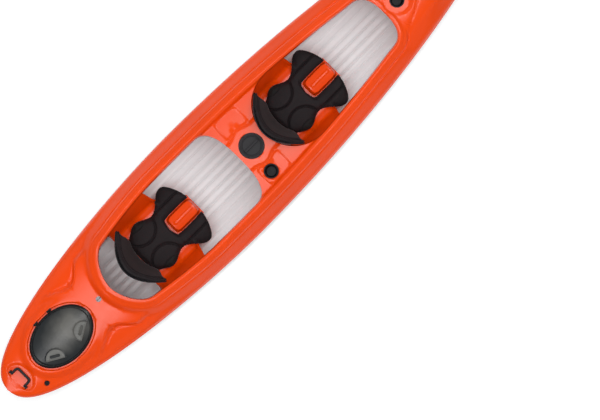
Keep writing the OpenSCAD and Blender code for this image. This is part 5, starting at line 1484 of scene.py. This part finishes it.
class KAYAK_OT_day_hatch(bpy.types.Operator):
    """Round day hatch in the console: ring, seal, screws and screw cap"""
    bl_idname = "kayak.day_hatch"
    bl_label = "Day hatch"

    # The ring's bore, the outside and depth of its neck, its flange and bevel, and small roundings
    BORE, NECK, NECK_H, FLANGE, BEVEL, FINE_ROUND = 0.052, 0.0577, 0.03, 0.005, 0.003, 0.0004
    # The cap's height over the console and its thickness, and its plug's radii and depth
    CAP_Z, CAP_T, PLUG_IN, PLUG_OUT, PLUG_H, PLUG_FLOOR = 0.0072, 0.006, 0.047, 0.0515, 0.022, 0.004
    # The finger bar: its length as a share of the cap's radius, width, height, place and roundings
    BAR_SHARE, BAR_W, BAR_H, BAR_Z, BAR_END, BAR_EDGE = 1.72, 0.017, 0.012, 0.003, 0.008, 0.003

    def execute(self, context):
        low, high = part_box("day_hatch_ring")
        pit = context.scene.kayak_cockpit
        at = Vector(((low.x + high.x) / 2, 0, pit.console_z + pit.pedestal_h))
        outer, bore, neck, flange = (high.x - low.x) / 2, self.BORE, self.NECK, self.FLANGE
        ring = [(bore, -self.NECK_H), (neck, -self.NECK_H), (neck, 0), (outer, 0), (outer, 0.002),
                (outer - self.BEVEL, flange), (bore + 0.001, flange), (bore, flange - 0.001)]
        bm = turned(ring, at, ring=True)
        piece("day_ring", bm, "kayak", "black_plastic", nodes=["day_hatch_ring"], sharp=35)
        oxide = black_oxide("black_oxide_steel", context.scene.kayak_colours)
        softened("day_hatch_screws", self.FINE_ROUND, oxide)
        softened("day_hatch_seal", self.FINE_ROUND)
        self.cap(at)
        return {"FINISHED"}

    def cap(self, at):
        """The cap: a dished disc with a raised rim and a finger bar across it."""
        r = reach("day_hatch_cap").x
        base, top = self.CAP_Z, self.CAP_Z + self.CAP_T
        floor, low = base - self.PLUG_FLOOR, base - self.PLUG_H
        profile = [(0, floor), (self.PLUG_IN - 0.001, floor), (self.PLUG_IN, low), (self.PLUG_OUT, low),
                   (self.PLUG_OUT, base), (r, base), (r, base + 0.004), (r - 0.002, top), (r - 0.006, top),
                   (r - 0.010, top - 0.003), (0.02, top - 0.002), (0, top - 0.002)]
        bm = turned(rounded_profile(profile, 0.0008, 2), at)
        bar = bmesh.new()
        extent = Matrix.Diagonal((self.BAR_SHARE * r, self.BAR_W, self.BAR_H, 1.0))
        bmesh.ops.create_cube(bar, size=1.0, matrix=Matrix.Translation(at + UP * (top + self.BAR_Z)) @ extent)
        upright = [e for e in bar.edges if abs((e.verts[0].co - e.verts[1].co).normalized().z) > 0.9]
        bmesh.ops.bevel(bar, geom=upright, offset=self.BAR_END, affect="EDGES", segments=6, profile=0.5,
                        material=-1)
        bevel_sharp(bar, self.BAR_EDGE, 3)
        mesh = meshed("bar", bar)
        bm.from_mesh(mesh)
        bpy.data.meshes.remove(mesh)
        piece("day_cap", bm, body_of("day_hatch_cap"), "black_plastic", nodes=["day_hatch_cap"], sharp=35)


class KAYAK_OT_cup_holders(bpy.types.Operator):
    """Cup holders in the console and the dash"""
    bl_idname = "kayak.cup_holders"
    bl_label = "Cup holders"

    BORE, WALL = 0.036, 0.0025

    def execute(self, context):
        bore, outer, under = self.BORE, self.BORE + self.WALL, -BoatForm.CUP_FLANGE
        for node in ("console_cup_holder", "dash_cup_holder"):
            low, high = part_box(node)
            at = Vector(((low.x + high.x) / 2, (low.y + high.y) / 2, high.z))
            rim, deep = (high.x - low.x) / 2, low.z - high.z
            profile = [(0, deep), (bore - 0.004, deep), (outer, deep + 0.01), (outer, under), (rim, under),
                       (rim, -0.001), (rim - 0.003, 0.0012), (bore + 0.002, 0.0006), (bore, under),
                       (bore - 0.002, deep + 0.012), (bore - 0.008, deep + self.WALL), (0, deep + self.WALL)]
            bm = turned(rounded_profile(profile, 0.002, 3), at)
            piece(node.replace("_holder", ""), bm, "kayak", "black_plastic", nodes=[node], sharp=50)
        return {"FINISHED"}


class KAYAK_OT_fittings(bpy.types.Operator):
    """Handles, brackets, foot braces, drain plug, deck eye and foam"""
    bl_idname = "kayak.fittings"
    bl_label = "Fittings"

    # Roundings of the edges, for single fittings and for those of each seat
    ROUNDING = {"bow_handle_brackets": 0.0015, "stern_handle_brackets": 0.0015, "drain_seat": 0.0008,
                "drain_plug": 0.0008, "foot_brace_screws": 0.0008, "bow_foam_block": 0.004}
    SEAT_ROUNDING = {"_seat_support": 0.004, "_seat_brackets": 0.001, "_backrest_hinges": 0.001,
                     "_hinge_pins": 0.0006}
    BRACE_ROUNDING = {"rail": 0.001, "pedal": 0.0012}
    # The handles are round bars already
    BAR_ROUNDING = {"bow_handle": 0.0, "stern_handle": 0.0, "deck_eye": 0.0006}
    # The stern's foam is sawn lower than the deck, to clear the handle's recess
    SAWN = 0.93

    def execute(self, context):
        rounding = dict(self.ROUNDING)
        for which in SEATS:
            rounding.update({which + end: width for end, width in self.SEAT_ROUNDING.items()})
            for side in SIDES:
                for end, width in self.BRACE_ROUNDING.items():
                    rounding[f"{which}_{side}_{end}"] = width
        for node, width in (rounding | self.BAR_ROUNDING).items():
            softened(node, width)
        softened("stern_foam_block", self.ROUNDING["bow_foam_block"], height=self.SAWN)
        return {"FINISHED"}


class KAYAK_OT_stage(bpy.types.Operator):
    """Pale floor, soft studio light and the camera"""
    bl_idname = "kayak.stage"
    bl_label = "Stage"

    # The photograph's frame: its middle on the boat, the width that it spans and the boat's heading in it
    FRAME_MIDDLE = (-0.124, -0.459)
    FRAME_W, FRAME_Z, HEADING, LENS = 3.465, 0.27, -45.05, 200.0
    # The floor's half-size and place under the keel, its paper's glow and the strength of the surround
    FLOOR_HALF, FLOOR_Z, GLOW, SURROUND = 30.0, -0.0005, 0.3, 0.42
    # Lamps: name, place, aim, width and depth, and power in watts
    LAMPS = (("overhead", (0.0, 0.0, 5.0), (0, 0, 0), (9.0, 0.4), 180.0),
             ("port", (0.0, 4.2, 3.2), (0, 0, 0.2), (7.0, 4.0), 42.0),
             ("starboard", (0.0, -4.2, 3.2), (0, 0, 0.2), (7.0, 4.0), 30.0))

    def execute(self, context):
        scene = context.scene
        scene.view_settings.view_transform = "Standard"
        self.floor(scene)
        self.light(scene)
        data = bpy.data.cameras.new("camera")
        data.lens = self.LENS
        camera = placed("camera", data)
        away = self.FRAME_W * data.lens / data.sensor_width
        camera.location = (*self.FRAME_MIDDLE, self.FRAME_Z + away)
        camera.rotation_euler = (0, 0, math.radians(self.HEADING))
        scene.camera = camera
        return {"FINISHED"}

    @staticmethod
    def seen(tree):
        """1 on rays that reach the eye directly, by a reflection or through clear plastic."""
        rays = add(tree, "ShaderNodeLightPath").outputs
        either = rays["Is Camera Ray"]
        for other in ("Is Glossy Ray", "Is Transmission Ray"):
            either = add(tree, MATH, {0: either, 1: rays[other]}, operation="MAXIMUM").outputs["Value"]
        return either

    def floor(self, scene):
        """Studio paper that glows a little for the eye, so that it stays pale."""
        bm = bmesh.new()
        bmesh.ops.create_grid(bm, x_segments=1, y_segments=1, size=self.FLOOR_HALF)
        bmesh.ops.translate(bm, vec=(0, 0, self.FLOOR_Z), verts=bm.verts[:])
        floor = placed("floor", meshed("floor", bm))
        material = bpy.data.materials.new("studio_paper")
        tree = empty_tree(material)
        paper = add(tree, "ShaderNodeBsdfDiffuse", {"Color": linear(scene.kayak_colours.floor)})
        lift = add(tree, MATH, {0: self.seen(tree), 1: self.GLOW}, operation="MULTIPLY").outputs["Value"]
        glow = add(tree, "ShaderNodeEmission", {"Color": grey(1.0), "Strength": lift})
        both = add(tree, "ShaderNodeAddShader", {0: paper.outputs[0], 1: glow.outputs[0]})
        add(tree, OUTPUT, {"Surface": both.outputs[0]})
        floor.data.materials.append(material)

    def light(self, scene):
        """An even white surround and three soft lamps."""
        scene.world = bpy.data.worlds.new("studio")
        tree = empty_tree(scene.world)
        back = add(tree, "ShaderNodeBackground", {"Color": grey(1.0), "Strength": self.SURROUND})
        add(tree, "ShaderNodeOutputWorld", {"Surface": back.outputs[0]})
        for name, place, aim, extent, power in self.LAMPS:
            data = bpy.data.lights.new(name, "AREA")
            data.shape = "RECTANGLE"
            data.size, data.size_y = extent
            data.energy = power
            lamp = placed(name, data)
            lamp.location = place
            lamp.rotation_euler = (Vector(aim) - Vector(place)).to_track_quat("-Z", "Y").to_euler()
            lamp.visible_camera = False


class KAYAK_PT_panel(bpy.types.Panel):
    """Lists the kayak's pieces"""
    bl_idname = "KAYAK_PT_panel"
    bl_label = "Kayak"
    bl_space_type = "VIEW_3D"
    bl_region_type = "UI"
    bl_category = "Kayak"

    def draw(self, context):
        for operator in OPERATORS:
            self.layout.operator(operator.bl_idname)
        for group in GROUPS:
            box = self.layout.box()
            values = getattr(context.scene, group)
            for key in values.__annotations__:
                box.prop(values, key)


OPERATORS = (KAYAK_OT_stage, KAYAK_OT_hull, KAYAK_OT_deck, KAYAK_OT_seat_pans, KAYAK_OT_cushions,
             KAYAK_OT_backrests, KAYAK_OT_hatches, KAYAK_OT_day_hatch, KAYAK_OT_cup_holders,
             KAYAK_OT_fittings)
GROUPS = {"kayak_hull": HullSizes, "kayak_deck": DeckSizes, "kayak_cockpit": CockpitSizes,
          "kayak_seat": SeatSizes, "kayak_colours": KayakColours}


def register():
    for cls in (*GROUPS.values(), *OPERATORS, KAYAK_PT_panel):
        bpy.utils.register_class(cls)
    for key, group in GROUPS.items():
        setattr(bpy.types.Scene, key, PointerProperty(type=group))


def unregister():
    for key in GROUPS:
        delattr(bpy.types.Scene, key)
    for cls in reversed((*GROUPS.values(), *OPERATORS, KAYAK_PT_panel)):
        bpy.utils.unregister_class(cls)


def main():
    """Builds every piece in order."""
    register()
    for operator in OPERATORS:
        getattr(bpy.ops.kayak, operator.bl_idname.split(".")[1])()


if __name__ == "__main__":
    main()
